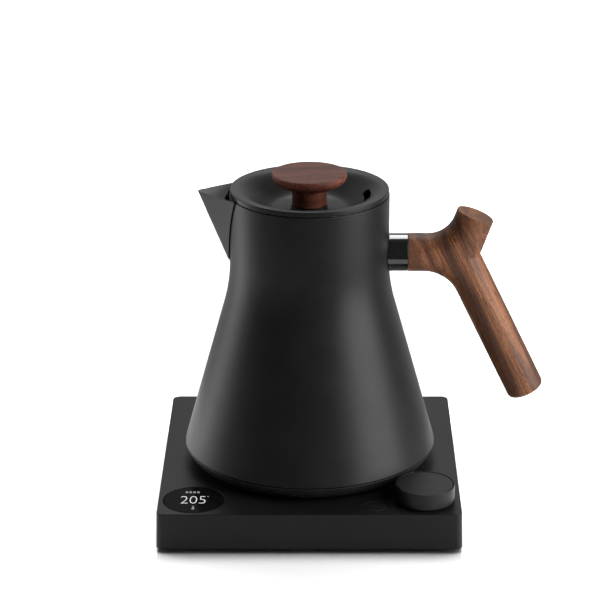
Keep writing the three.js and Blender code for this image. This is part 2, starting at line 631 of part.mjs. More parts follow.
function lidDish() {
  const rimBottom = LID_TOP_Z - LID_RIM_HEIGHT;
  const third = (DISH_LIP_RADIUS - DISH_FLOOR_RADIUS) / 3;
  const slope = (drop) => {
    const curve = new THREE.CubicBezierCurve(
      new THREE.Vector2(DISH_LIP_RADIUS, LID_TOP_Z - drop),
      new THREE.Vector2(DISH_LIP_RADIUS - third, LID_TOP_Z - drop),
      new THREE.Vector2(DISH_FLOOR_RADIUS + third, DISH_FLOOR_Z - drop),
      new THREE.Vector2(DISH_FLOOR_RADIUS, DISH_FLOOR_Z - drop));
    return trace(curve, 7);
  };
  const screwHole = 2.4;
  const pressed = turned([
    [LID_RADIUS, rimBottom], [LID_RADIUS, LID_TOP_Z - 0.5], [LID_RADIUS - 0.5, LID_TOP_Z],
    ...slope(0), [screwHole, DISH_FLOOR_Z], [screwHole, DISH_FLOOR_Z - LID_SHEET],
    ...slope(LID_SHEET).reverse(), [LID_RADIUS - LID_SHEET, LID_TOP_Z - LID_SHEET],
    [LID_RADIUS - LID_SHEET, rimBottom],
  ], ROUND_SIDES);
  const slot = new THREE.Shape();
  slot.absarc(0, 0, VENT_RADIUS + VENT_WIDTH / 2, -VENT_HALF_ANGLE, VENT_HALF_ANGLE);
  slot.absarc(VENT_RADIUS * Math.cos(VENT_HALF_ANGLE), VENT_RADIUS * Math.sin(VENT_HALF_ANGLE),
    VENT_WIDTH / 2, VENT_HALF_ANGLE, VENT_HALF_ANGLE + Math.PI);
  slot.absarc(0, 0, VENT_RADIUS - VENT_WIDTH / 2, VENT_HALF_ANGLE, -VENT_HALF_ANGLE, true);
  slot.absarc(VENT_RADIUS * Math.cos(VENT_HALF_ANGLE), -VENT_RADIUS * Math.sin(VENT_HALF_ANGLE),
    VENT_WIDTH / 2, Math.PI - VENT_HALF_ANGLE, 2 * Math.PI - VENT_HALF_ANGLE);
  const vent = new THREE.ExtrudeGeometry(slot, { depth: 30, bevelEnabled: false, curveSegments: 6 });
  return cut(pressed, vent.translate(0, 0, DISH_FLOOR_Z - 5));
}

function lidUnderplate(bottom) {
  const plate = ring(2.4, LID_SKIRT_RADIUS - LID_SKIRT_WALL - GAP, bottom, bottom + 0.8, ROUND_SIDES);
  const steamHoles = [-40, -20, 0, 20, 40].map((degrees) => {
    const angle = THREE.MathUtils.degToRad(degrees);
    const hole = disc(2.6, bottom - 1, bottom + 2, TINY_SIDES);
    return at(hole, VENT_RADIUS * Math.cos(angle), VENT_RADIUS * Math.sin(angle));
  });
  return cut(plate, ...steamHoles);
}

function knobOutline(bottom) {
  const bowl = new THREE.CubicBezierCurve(
    new THREE.Vector2(KNOB_STEM_RADIUS, KNOB_TOP_Z - 8.4),
    new THREE.Vector2(KNOB_STEM_RADIUS + 5, KNOB_TOP_Z - 8),
    new THREE.Vector2(KNOB_RADIUS - 0.6, KNOB_TOP_Z - 6.6),
    new THREE.Vector2(KNOB_RADIUS, KNOB_TOP_Z - 1.6));
  const rim = arc(KNOB_RADIUS - 0.6, KNOB_TOP_Z - 0.6, 0.6, 0, Math.PI / 2, 3);
  return [
    [2.4, bottom], [KNOB_STEM_RADIUS - 0.2, bottom], [KNOB_STEM_RADIUS, bottom + 0.2],
    ...trace(bowl, 6), ...rim, [0, KNOB_TOP_Z], [0, KNOB_TOP_Z - 5], [2.4, KNOB_TOP_Z - 5],
  ];
}

function lidGroup() {
  const group = new THREE.Group();
  group.position.z = BASE_TOP;
  group.add(piece('lid_dish', lidDish(), blackCoat));
  const skirtTop = LID_TOP_Z - LID_SHEET - GAP;
  const skirtInner = LID_SKIRT_RADIUS - LID_SKIRT_WALL;
  const skirt = ring(skirtInner, LID_SKIRT_RADIUS, LID_SKIRT_BOTTOM_Z, skirtTop, ROUND_SIDES);
  group.add(piece('lid_skirt', skirt, steel));
  const plateBottom = LID_SKIRT_BOTTOM_Z + 0.9;
  group.add(piece('lid_underplate', lidUnderplate(plateBottom), steel));
  const gasket = ring(LID_SKIRT_RADIUS + 0.3, NECK_RADIUS - SHELL_WALL - 0.25, 151, 153, ROUND_SIDES);
  group.add(piece('lid_gasket', gasket, silicone));
  const spacer = ring(2.4, 5, plateBottom + 0.8 + GAP, DISH_FLOOR_Z - LID_SHEET - GAP, 16);
  group.add(piece('lid_spacer', spacer, darkPlastic));
  group.add(piece('knob_collar', ring(2.4, 10.4, DISH_FLOOR_Z + GAP, DISH_FLOOR_Z + 1.9), blackPlastic));
  group.add(piece('knob', turned(knobOutline(DISH_FLOOR_Z + 1.9 + GAP), 32), walnut));
  const screw = screwUp(4, 1.8, 2, 18, plateBottom - GAP);
  group.add(piece('knob_screw', screw, steel));
  return group;
}

// ---------------------------------------------------------------- assembly

const kettle = new THREE.Group();
kettle.add(baseGroup(), dialGroup(), buttonCap(), couplingGroup(), jugGroup(), lidGroup());
const bounds = new THREE.Box3().setFromObject(kettle, true);
const middle = bounds.getCenter(new THREE.Vector3());
kettle.position.set(-middle.x, -middle.y, -bounds.min.z);

export default kettle;
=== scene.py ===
import json
import math

import bmesh
import bpy
from mathutils import Matrix, Vector


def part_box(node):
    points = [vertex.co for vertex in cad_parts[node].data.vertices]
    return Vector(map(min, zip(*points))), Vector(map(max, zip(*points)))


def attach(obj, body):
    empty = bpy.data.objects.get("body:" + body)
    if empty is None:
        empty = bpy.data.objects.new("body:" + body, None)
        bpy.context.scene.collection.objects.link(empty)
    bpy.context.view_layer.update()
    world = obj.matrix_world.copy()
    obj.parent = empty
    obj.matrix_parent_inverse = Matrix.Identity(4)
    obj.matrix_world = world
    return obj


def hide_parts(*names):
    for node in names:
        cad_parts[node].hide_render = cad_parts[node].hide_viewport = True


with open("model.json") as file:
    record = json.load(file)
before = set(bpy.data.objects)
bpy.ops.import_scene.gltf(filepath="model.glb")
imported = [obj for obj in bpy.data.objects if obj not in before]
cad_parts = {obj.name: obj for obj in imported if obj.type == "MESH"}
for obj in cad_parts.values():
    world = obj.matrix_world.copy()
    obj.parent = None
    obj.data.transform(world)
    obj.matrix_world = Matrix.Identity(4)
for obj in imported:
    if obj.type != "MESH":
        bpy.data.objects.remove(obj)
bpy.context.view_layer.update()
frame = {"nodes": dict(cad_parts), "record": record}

# Compact electric kettle. Lengths in the code are millimetres about the jug's upright axis, with heights
# over the floor for the base and over the base top for the jug and lid; make() turns them into metres.

MM = 0.001
base_low, base_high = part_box("base_housing")
AXIS_X = (base_low.x + base_high.x) / 2
BASE_TOP = base_high.z / MM
GAP = 0.35  # clearance between neighbouring pieces
LARGE, MEDIUM, SMALL = 224, 128, 64  # facets of large, medium and small round pieces

# ---------------------------------------------------------------- camera and light

CAMERA_SENSOR, CAMERA_LENS, CAMERA_SHIFT = 36, 144.96, -0.0353
CAMERA_PLACE = (0.00663, -1.29852, 0.57916)  # metres from the middle of the base's top face
CAMERA_PITCH = 20.437  # degrees that it looks down
WORLD_FRONT, WORLD_BACK, WORLD_SEEN = 0.04, 0.75, 1.2
SOFTBOXES = (  # name, azimuth, height, distance, size, radiance
    ("left_softbox", -111, 0.25, 1.2, (0.64, 1.7), 3.7),
    ("right_softbox", 67, 0.52, 1.2, (1.02, 1.6), 10.2),
    ("top_softbox", 180, 1.24, 0.71, (0.4, 0.8), 10))


def add_camera():
    data = bpy.data.cameras.new("camera")
    data.sensor_width = CAMERA_SENSOR
    data.lens = CAMERA_LENS
    data.shift_x = CAMERA_SHIFT
    camera = bpy.data.objects.new("camera", data)
    across, back, up = CAMERA_PLACE
    camera.location = (AXIS_X + across, back, base_high.z + up)
    camera.rotation_euler = (math.radians(90 - CAMERA_PITCH), 0, 0)
    bpy.context.scene.collection.objects.link(camera)
    bpy.context.scene.camera = camera


def aim(light, place, target):
    light.location = place
    light.rotation_euler = (target - place).to_track_quat("-Z", "Y").to_euler()
    bpy.context.scene.collection.objects.link(light)


def add_softbox(name, azimuth, height, distance, size, radiance):
    """An area light on a circle round the jug; azimuth 0 is on the camera's side and 90 on the handle's."""
    data = bpy.data.lights.new(name, "AREA")
    data.shape = "RECTANGLE"
    data.size, data.size_y = size
    data.energy = radiance * math.pi * size[0] * size[1]
    angle = math.radians(azimuth)
    place = Vector((AXIS_X + math.sin(angle) * distance, -math.cos(angle) * distance, height))
    middle = Vector((AXIS_X, 0, 0.09))
    aim(bpy.data.objects.new(name, data), place, middle)


def add_snoot(name, place, target, cone, power):
    """A narrow beam onto one small part; place and target count from the middle of the base's top face."""
    data = bpy.data.lights.new(name, "SPOT")
    data.energy = power
    data.spot_size = math.radians(cone)
    data.spot_blend = 0.6
    data.shadow_soft_size = 0.02
    origin = Vector((AXIS_X, 0, base_high.z))
    aim(bpy.data.objects.new(name, data), origin + Vector(place), origin + Vector(target))


def add_world():
    """White where the camera sees it; as light, dim on the camera's side and brighter behind the object."""
    world = bpy.data.worlds.new("studio")
    world.use_nodes = True
    nodes, links = world.node_tree.nodes, world.node_tree.links
    direction = nodes.new("ShaderNodeSeparateXYZ")
    links.new(nodes.new("ShaderNodeTexCoord").outputs["Generated"], direction.inputs[0])
    level = nodes.new("ShaderNodeMapRange")
    links.new(direction.outputs["Y"], level.inputs["Value"])
    level.inputs["From Min"].default_value = -0.2
    level.inputs["To Min"].default_value = WORLD_FRONT
    level.inputs["To Max"].default_value = WORLD_BACK
    seen = nodes.new("ShaderNodeMix")
    links.new(nodes.new("ShaderNodeLightPath").outputs["Is Camera Ray"], seen.inputs[0])
    links.new(level.outputs["Result"], seen.inputs[2])
    seen.inputs[3].default_value = WORLD_SEEN
    links.new(seen.outputs[0], nodes["Background"].inputs["Strength"])
    nodes["Background"].inputs["Color"].default_value = (1, 1, 1, 1)
    bpy.context.scene.world = world


bpy.context.scene.view_settings.view_transform = "Standard"
add_camera()
add_world()
for softbox in SOFTBOXES:
    add_softbox(*softbox)
add_snoot("spout_snoot", (0.42, -0.2, 1.15), (-0.055, 0.005, 0.156), 1.5, 400)

# ---------------------------------------------------------------- materials


class Finish:
    """A material with one Principled shader, and short calls that add and join its nodes."""

    def __init__(self, name, **inputs):
        self.material = bpy.data.materials.new(name)
        self.material.use_nodes = True
        self.nodes = self.material.node_tree.nodes
        self.links = self.material.node_tree.links
        self.shader = self.nodes["Principled BSDF"]
        for key, value in inputs.items():
            self.socket(key).default_value = value
        self.place = self.add("TexCoord").outputs["Object"]

    def socket(self, key):
        names = {"specular": "Specular IOR Level", "color": "Base Color"}
        return self.shader.inputs[names.get(key, key.replace("_", " ").title())]

    def add(self, kind, **values):
        node = self.nodes.new("ShaderNode" + kind)
        for key, value in values.items():
            if isinstance(value, bpy.types.NodeSocket):
                self.links.new(value, node.inputs[key])
            elif key in node.inputs:
                node.inputs[key].default_value = value
            else:
                setattr(node, key, value)
        return node

    def noise(self, scale, detail=3, roughness=0.55, place=None, distortion=0):
        place = place or self.place
        return self.add("TexNoise", Vector=place, Scale=scale, Detail=detail, Roughness=roughness,
                        Distortion=distortion).outputs["Fac"]

    def spread(self, value, low, high, start=0.3, end=0.7):
        """Maps a value from start to end onto low to high, without going past them."""
        node = self.add("MapRange", Value=value)
        node.inputs["From Min"].default_value = start
        node.inputs["From Max"].default_value = end
        node.inputs["To Min"].default_value = low
        node.inputs["To Max"].default_value = high
        return node.outputs["Result"]

    def ramp(self, value, *stops):
        node = self.add("ValToRGB", Fac=value)
        elements = node.color_ramp.elements
        while len(elements) < len(stops):
            elements.new(0.5)
        for element, (position, color) in zip(elements, stops):
            element.position = position
            element.color = (*color, 1)
        return node.outputs["Color"]

    def math(self, operation, first, second):
        node = self.add("Math", operation=operation)
        for socket, value in zip(node.inputs, (first, second)):
            if isinstance(value, bpy.types.NodeSocket):
                self.links.new(value, socket)
            else:
                socket.default_value = value
        return node.outputs["Value"]

    def bump(self, *layers):
        """Height layers as (value, depth in metres)."""
        normal = None
        for value, depth in layers:
            node = self.add("Bump", Height=value, Distance=depth)
            if normal:
                self.links.new(normal, node.inputs["Normal"])
            normal = node.outputs["Normal"]
        self.links.new(normal, self.shader.inputs["Normal"])

    def feed(self, key, value):
        self.links.new(value, self.socket(key))


def srgb(red, green, blue):
    """Linear colour of 0-255 display values."""
    return tuple(((c / 255 + 0.055) / 1.055) ** 2.4 if c > 10 else c / 3294.6 for c in (red, green, blue))


def grey(level):
    return (level, level, level)


def mottled(name, dark, light, rough, grain, depth, **inputs):
    """A moulded or coated surface: faint patches, a slightly uneven sheen and a fine grain in relief."""
    finish = Finish(name, **inputs)
    patches = finish.noise(70, 4)
    fine = finish.noise(grain, 2, 0.6)
    finish.feed("color", finish.ramp(patches, (0.3, dark), (0.7, light)))
    finish.feed("roughness", finish.spread(finish.math("ADD", patches, fine), *rough, 0.8, 1.2))
    finish.bump((fine, depth))
    return finish.material


def brushed(name, color, rough, stretch):
    """Metal with fine scratches drawn out along the directions that stretch makes small."""
    finish = Finish(name, color=(*color, 1), metallic=1)
    drawn = finish.add("Mapping", Vector=finish.place)
    drawn.inputs["Scale"].default_value = stretch
    scratches = finish.noise(2600, 4, 0.7, drawn.outputs["Vector"])
    finish.feed("roughness", finish.spread(scratches, *rough))
    finish.bump((scratches, 4e-6))
    return finish.material


def walnut(name, grain, dark, light, depth, sheen, offset=(0, 0, 0)):
    """Oiled walnut whose fibres run along the grain; a small depth draws the rings out along Y as well."""
    finish = Finish(name, specular=sheen)
    turn = Vector(grain).normalized().rotation_difference(Vector((0, 0, 1))).to_euler()
    turned = finish.add("Mapping", Vector=finish.place)
    turned.inputs["Rotation"].default_value = turn
    turned.inputs["Location"].default_value = offset

    def drawn(squeeze, across=1):
        node = finish.add("Mapping", Vector=turned.outputs["Vector"])
        node.inputs["Scale"].default_value = (1, across, squeeze)
        return node.outputs["Vector"]

    bands = finish.noise(170, 3, 0.5, drawn(0.06, depth), 0.5)
    fibres = finish.noise(1000, 4, 0.6, drawn(0.04, depth ** 0.5))
    pores = finish.noise(2300, 2, 0.5, drawn(0.2))
    rings = finish.noise(190, 1, 0.4, drawn(0.03, depth), 0.6)
    tone = finish.math("ADD", finish.math("MULTIPLY", bands, 0.6), finish.math("MULTIPLY", fibres, 0.4))
    middle = tuple((a * b) ** 0.5 for a, b in zip(dark, light))
    color = finish.ramp(tone, (0.38, dark), (0.5, middle), (0.62, light))
    off_line = finish.math("PINGPONG", rings, 0.047)
    lines = finish.spread(off_line, 0.55, 1, 0.001, 0.012)
    shade = finish.math("MULTIPLY", finish.spread(pores, 0.45, 1, 0.36, 0.48), lines)
    mixed = finish.add("Mix", data_type="RGBA", blend_type="MULTIPLY")
    mixed.inputs[0].default_value = 1
    finish.links.new(color, mixed.inputs[6])
    finish.links.new(shade, mixed.inputs[7])
    finish.feed("color", mixed.outputs[2])
    finish.feed("roughness", finish.spread(fibres, 0.45, 0.6))
    finish.bump((fibres, 1.2e-5), (shade, 3e-5))
    return finish.material


def lit_marks(name, level):
    finish = Finish(name, color=(0, 0, 0, 1), emission_strength=level)
    glow = finish.noise(900, 2)
    finish.feed("emission_color", finish.ramp(glow, (0.2, grey(0.8)), (0.8, grey(1.0))))
    return finish.material


MATERIALS = {
    "walnut": walnut("walnut", (0.43, 0, -0.9), srgb(54, 30, 18), srgb(112, 70, 41), 0.2, 0.22),
    "walnut_knob": walnut("walnut_knob", (1, 0.18, 0.05), srgb(60, 31, 23), srgb(92, 52, 39), 1, 0.1,
                          (0.3, 0.1, 0.2)),
    "steel": brushed("steel", grey(0.56), (0.24, 0.38), (1, 1, 0.05)),
    "aluminium": brushed("aluminium", srgb(200, 201, 204), (0.32, 0.5), (1, 0.05, 1)),
    "brass": brushed("brass", srgb(196, 158, 84), (0.2, 0.34), (1, 1, 0.1)),
    "circuit_board": mottled("circuit_board", srgb(24, 66, 44), srgb(34, 84, 56), (0.35, 0.5), 900, 8e-6),
    "lit_marks": lit_marks("lit_marks", 0.85),
    "faint_marks": lit_marks("faint_marks", 0.25),
}
for name, dark, light, rough, grain, relief, inputs in (
        ("coat_black", 0.0042, 0.0052, (0.38, 0.43), 2600, 1.6e-5, {"specular": 0.14}),
        # Lighter copy of the black coat: painted light on the spout's inner face.
        ("spout_painted_light", 0.024, 0.028, (0.4, 0.46), 2600, 1.6e-5, {"specular": 0.3}),
        # Near-black and almost without reflection: a painted shadow for the gap between spout and neck.
        ("seam_painted_shadow", 0.001, 0.0014, (0.8, 0.9), 900, 1e-6, {"specular": 0.02}),
        ("plastic_black", 0.0055, 0.007, (0.38, 0.44), 1900, 2e-5, {"specular": 0.15}),
        ("display_gloss", 0.002, 0.003, (0.12, 0.15), 300, 1e-7, {"specular": 0.02}),
        ("ferrule_gloss", 0.004, 0.006, (0.07, 0.12), 260, 3e-7, {"coat_weight": 0.4}),
        ("rubber", 0.008, 0.014, (0.75, 0.9), 1500, 3e-5, {}),
        ("silicone", 0.03, 0.04, (0.55, 0.65), 1200, 1e-5, {}),
        ("component_dark", 0.012, 0.02, (0.5, 0.7), 1400, 2e-5, {})):
    MATERIALS[name] = mottled(name, grey(dark), grey(light), rough, grain, relief, **inputs)

# ---------------------------------------------------------------- floor

SPOT = (-0.33, 0.03, 0)  # middle of the bright spot that the jug's left side reflects
REFLECTED_MIDDLE, REFLECTED_RADIUS, FLOOR_RADIUS = (-0.1, -0.06), 0.27, 14


def floor_finish():
    """Pale paper with a painted contact shadow, darkest right under the object, and a glow that keeps it
    white all round.
    """
    finish = Finish("floor_paper", roughness=0.9, specular=0.1, emission_color=(1, 1, 1, 1))
    # Painted contact shadow: ambient occlusion darkens the paper's own colour near and under the object.
    occluded = finish.add("AmbientOcclusion", Distance=0.022, samples=8).outputs["AO"]
    painted_contact_shade = finish.spread(occluded, 0.1, 1, 0.45, 0.8)
    paper = finish.spread(finish.noise(40, 3), 0.8, 0.81)
    finish.feed("color", finish.ramp(finish.math("MULTIPLY", painted_contact_shade, paper), (0, grey(0)), (1, grey(1))))
    from_middle = finish.add("VectorMath", operation="LENGTH")
    finish.links.new(finish.place, from_middle.inputs[0])
    from_spot = finish.add("VectorMath", operation="DISTANCE")
    finish.links.new(finish.place, from_spot.inputs[0])
    from_spot.inputs[1].default_value = SPOT
    across = finish.add("SeparateXYZ", Vector=finish.place).outputs["X"]
    beside = finish.math("ABSOLUTE", finish.math("SUBTRACT", across, AXIS_X), 0)
    glow = finish.math("ADD", finish.spread(from_middle.outputs["Value"], 0, 1.6, 0.25, 1.5),
                       finish.spread(from_spot.outputs["Value"], 2.2, 0, 0.08, 0.2))
    side_glow = finish.spread(beside, 0, 0.8, 0.0846, 0.0858)
    finish.feed("emission_strength", finish.math("ADD", glow, side_glow))
    return finish.material


def floor():
    """A disc that shows in the object's reflections and a wide ring round it that doesn't."""
    material = floor_finish()
    sides = 96

    def circle(radius):
        turns = [2 * math.pi * k / sides for k in range(sides)]
        x, y = REFLECTED_MIDDLE
        return [(x + radius * math.cos(a), y + radius * math.sin(a), 0) for a in turns]

    around = [(k, (k + 1) % sides, sides + (k + 1) % sides, sides + k) for k in range(sides)]
    for name, points, faces, reflected in (
            ("floor_middle", circle(REFLECTED_RADIUS), [tuple(range(sides))], True),
            ("floor_round", circle(REFLECTED_RADIUS) + circle(FLOOR_RADIUS), around, False)):
        mesh = bpy.data.meshes.new(name)
        mesh.from_pydata(points, [], faces)
        mesh.materials.append(material)
        obj = bpy.data.objects.new(name, mesh)
        obj.visible_glossy = reflected
        obj.visible_shadow = False
        bpy.context.scene.collection.objects.link(obj)


floor()

# ---------------------------------------------------------------- mesh helpers


def make(name, points, faces, lift=0, place=(0, 0)):
    """An object from millimetre points about the jug's axis, raised by lift and moved to a place."""
    mesh = bpy.data.meshes.new(name)
    dx, dy = place
    placed = [(AXIS_X + (x + dx) * MM, (y + dy) * MM, (z + lift) * MM) for x, y, z in points]
    mesh.from_pydata(placed, [], faces)
    obj = bpy.data.objects.new(name, mesh)
    bpy.context.scene.collection.objects.link(obj)
    clean(mesh)
    return obj


def clean(mesh):
    """Welds shared points, drops faces without area and turns every face outwards."""
    work = bmesh.new()
    work.from_mesh(mesh)
    bmesh.ops.remove_doubles(work, verts=work.verts, dist=1e-7)
    bmesh.ops.dissolve_degenerate(work, edges=work.edges, dist=1e-7)
    bmesh.ops.recalc_face_normals(work, faces=work.faces)
    work.to_mesh(mesh)
    work.free()


def settle(obj):
    """Applies the object's modifiers."""
    result = bpy.data.meshes.new_from_object(obj.evaluated_get(bpy.context.evaluated_depsgraph_get()))
    obj.modifiers.clear()
    old, obj.data = obj.data, result
    bpy.data.meshes.remove(old)


def combine(obj, operation, *tools):
    for tool in tools:
        modifier = obj.modifiers.new("boolean", "BOOLEAN")
        modifier.operation = operation
        modifier.solver = "EXACT"
        modifier.object = tool
    settle(obj)
    for tool in tools:
        bpy.data.objects.remove(tool)
    clean(obj.data)
    return obj


def carve(obj, *tools):
    return combine(obj, "DIFFERENCE", *tools)


def dress(obj, body, slot, *nodes, material=None, sharp=38):
    """Shades the piece, gives it its finish and makes it ride on its body in place of its CAD nodes."""
    mesh = obj.data
    mesh.shade_smooth()
    mesh.set_sharp_from_angle(angle=math.radians(sharp))
    modifier = obj.modifiers.new("even_normals", "WEIGHTED_NORMAL")
    modifier.keep_sharp = True
    mesh.materials.clear()
    mesh.materials.append(MATERIALS[material or slot])
    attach(obj, body)
    if nodes:
        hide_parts(*nodes)


def rounded(*corners, steps=5):
    """Closed outline through (x, y, radius) corners, each turned into an arc of its radius."""
    outline = []
    for i, (x, y, *radius) in enumerate(corners):
        corner = Vector((x, y))
        before = Vector(corners[i - 1][:2]) - corner
        after = Vector(corners[(i + 1) % len(corners)][:2]) - corner
        if not radius or not radius[0] or min(before.length, after.length) < 1e-6:
            outline.append((x, y))
            continue
        half = before.angle(after) / 2
        reach = min(radius[0] / math.tan(half), before.length * 0.49, after.length * 0.49)
        before.normalize()
        after.normalize()
        arc_radius = reach * math.tan(half)
        centre = corner + (before + after).normalized() * (arc_radius / math.sin(half))
        start = corner + before * reach - centre
        end = corner + after * reach - centre
        from_angle = math.atan2(start.y, start.x)
        sweep = (math.atan2(end.y, end.x) - from_angle + math.pi) % (2 * math.pi) - math.pi
        for k in range(steps + 1):
            angle = from_angle + sweep * k / steps
            outline.append((centre.x + arc_radius * math.cos(angle), centre.y + arc_radius * math.sin(angle)))
    return outline


def lathe(profile, sides=MEDIUM):
    """Revolves a closed (radius, height) outline, or one that starts and ends on the axis, about Z."""
    points, rings, faces = [], [], []
    for radius, z in profile:
        if abs(radius) < 1e-9:
            rings.append([len(points)] * sides)
            points.append((0, 0, z))
            continue
        rings.append(list(range(len(points), len(points) + sides)))
        angles = [2 * math.pi * k / sides for k in range(sides)]
        points += [(radius * math.cos(a), radius * math.sin(a), z) for a in angles]
    on_axis = abs(profile[0][0]) < 1e-9 and abs(profile[-1][0]) < 1e-9
    pairs = list(zip(rings, rings[1:])) + ([] if on_axis else [(rings[-1], rings[0])])
    for low, high in pairs:
        for i in range(sides):
            j = (i + 1) % sides
            face = list(dict.fromkeys((low[i], low[j], high[j], high[i])))
            if len(face) > 2:
                faces.append(face)
    return points, faces


def turned(name, profile, sides=MEDIUM, lift=0, place=(0, 0)):
    return make(name, *lathe(profile, sides), lift, place)


def rod(radius, bottom, top, place=(0, 0), lift=0, sides=SMALL, flare=0):
    """A round cutter; a flare rounds the rim of its hole in a face 1 mm under its top."""
    profile = [(0, bottom), (radius, bottom), (radius, top), (0, top)]
    if flare:
        edge = top - 1
        arc = [(radius + flare * (1 - math.cos(a)), edge - flare * (1 - math.sin(a)))
               for a in (k * math.pi / 10 for k in range(6))]
        profile = [(0, bottom), (radius, bottom), *arc, (radius + flare, top), (0, top)]
    return turned("cutter", profile, sides, lift, place)


def skin(levels):
    """Joins a stack of outlines with equal point counts into a closed skin."""
    count = len(levels[0])
    points = [p for level in levels for p in level]
    faces = []
    for start in range(0, (len(levels) - 1) * count, count):
        for i in range(count):
            j = (i + 1) % count
            faces.append((start + i, start + j, start + count + j, start + count + i))
    faces.append(tuple(range(count))[::-1])
    faces.append(tuple(range(len(points) - count, len(points))))
    return points, faces


def rounded_square(half, radius, z, steps=8):
    centre = half - radius
    outline = []
    for i, (sx, sy) in enumerate(((1, 1), (-1, 1), (-1, -1), (1, -1))):
        for k in range(steps + 1):
            angle = (i + k / steps) * math.pi / 2
            x, y = radius * math.cos(angle), radius * math.sin(angle)
            outline.append((sx * centre + x, sy * centre + y, z))
    return outline


def lay_along_x(obj, z):
    """Turns a piece made about Z at the axis so that its length runs along +X from the axis at a height."""
    to_origin = Matrix.Translation((-AXIS_X, 0, 0))
    to_place = Matrix.Translation((AXIS_X, 0, z * MM))
    obj.data.transform(to_place @ Matrix.Rotation(math.pi / 2, 4, "Y") @ to_origin)
    return obj


def bezier(p0, p1, p2, p3, steps):
    points = []
    for k in range(steps + 1):
        t = k / steps
        weights = ((1 - t) ** 3, 3 * t * (1 - t) ** 2, 3 * t * t * (1 - t), t ** 3)
        points.append(tuple(sum(w * p[axis] for w, p in zip(weights, (p0, p1, p2, p3))) for axis in (0, 1)))
    return points


# ---------------------------------------------------------------- base

SIDE_HALF, BASE_BOTTOM, CORNER = 85, 2.5, 3.5
UNDER_ROUND, TOP_ROUND = 0.8, 0.6
WALL, PLATE = 1.8, 2.4
DISPLAY_PLACE, DIAL_PLACE, BUTTON_PLACE = (-65, -65.8), (65, -65.8), (37.1, -74)
TOP_HOLES = (  # radius and place of the display's, dial stem's, button's and connector's openings
    (17.35, DISPLAY_PLACE), (3.35, DIAL_PLACE), (6.55, BUTTON_PLACE), (17.35, (0, 0)))
CORD_HOLE_R, CORD_HOLE_Z = 5.75, 13
SCREW_HOLE_R = 1.75
CORNERS = {"front_left": (-1, -1), "front_right": (1, -1), "rear_left": (-1, 1), "rear_right": (1, 1)}
SCREW_X, SCREW_Y, FOOT_PLACE = 76, 42, 70
PLATE_UNDER = BASE_TOP - PLATE


def half_at(z):
    """Half the base's width at a height; each side leans out by 0.5 mm from the top to the underside."""
    return SIDE_HALF + 0.5 * (BASE_TOP - z) / (BASE_TOP - BASE_BOTTOM)


def screw_places():
    return [(sx * SCREW_X, sy * SCREW_Y) for sx, sy in CORNERS.values()]


def base_housing():
    levels = []
    for k in range(7):
        turn = k * math.pi / 12
        z = BASE_BOTTOM + UNDER_ROUND * (1 - math.cos(turn))
        levels.append(rounded_square(half_at(z) - UNDER_ROUND * (1 - math.sin(turn)), CORNER, z))
    for k in range(7):
        turn = k * math.pi / 12
        z = BASE_TOP - TOP_ROUND * (1 - math.sin(turn))
        levels.append(rounded_square(half_at(z) - TOP_ROUND * (1 - math.cos(turn)), CORNER, z))
    body = make("base_shell", *skin(levels))
    inside = [rounded_square(half_at(z) - WALL, CORNER - 1, z) for z in (1.5, PLATE_UNDER)]
    tools = [make("cutter", *skin(inside))]
    for radius, place in TOP_HOLES:
        tools.append(rod(radius, PLATE_UNDER - 1, BASE_TOP + 1, place, flare=0.15, sides=MEDIUM))
    carve(body, *tools)
    combine(body, "UNION", *[rod(3.6, 5.2, PLATE_UNDER + 0.5, place) for place in screw_places()])
    cord_hole = rod(CORD_HOLE_R, 70, 95)
    to_origin = Matrix.Translation((-AXIS_X, 0, 0))
    to_wall = Matrix.Translation((AXIS_X, 0, CORD_HOLE_Z * MM))
    cord_hole.data.transform(to_wall @ Matrix.Rotation(-math.pi / 2, 4, "X") @ to_origin)
    carve(body, cord_hole, *[rod(SCREW_HOLE_R, 0, 14, place, sides=24) for place in screw_places()])
    dress(body, "base", "coat_black", "base_housing")


def bottom_cover():
    half = half_at(BASE_BOTTOM) - WALL - GAP
    levels = [rounded_square(half - inset, CORNER - inset, z)
              for z, inset in ((2.85, 0.3), (2.94, 0.09), (3.15, 0), (4.85, 0))]
    plate = make("base_underside", *skin(levels))
    posts = [(x, -75) for x in (-66, -22, 22, 66)] + [(x, 40) for x in (-54, -18, 18, 54)]
    combine(plate, "UNION", *[rod(2.6, 4.4, 9.55, place, sides=32) for place in posts])
    drains = [rod(1.1, 2, 5.5, (x, y), sides=24) for x in (-8, -4, 0, 4, 8) for y in (-6, -2, 2, 6)]
    carve(plate, *[rod(SCREW_HOLE_R, 0, 6, place, sides=24) for place in screw_places()], *drains)
    dress(plate, "base", "plastic_black", "base_bottom_cover")


def screw(name, body, node, head, height, shank, length, under, place, lift=0):
    """A pan-head screw that points up, with a six-sided recess in its head."""
    low = under - height
    profile = rounded((0, low), (head, low, height * 0.45), (head, under, 0.1), (shank, under, 0.1),
                      (shank, under + length - 1), (0, under + length))
    obj = turned(name, profile, 48, lift, place)
    recess = rod(head * 0.42, low - 1, low + height * 0.62, place, lift, sides=6)
    dress(carve(obj, recess), body, "steel", node, sharp=30)


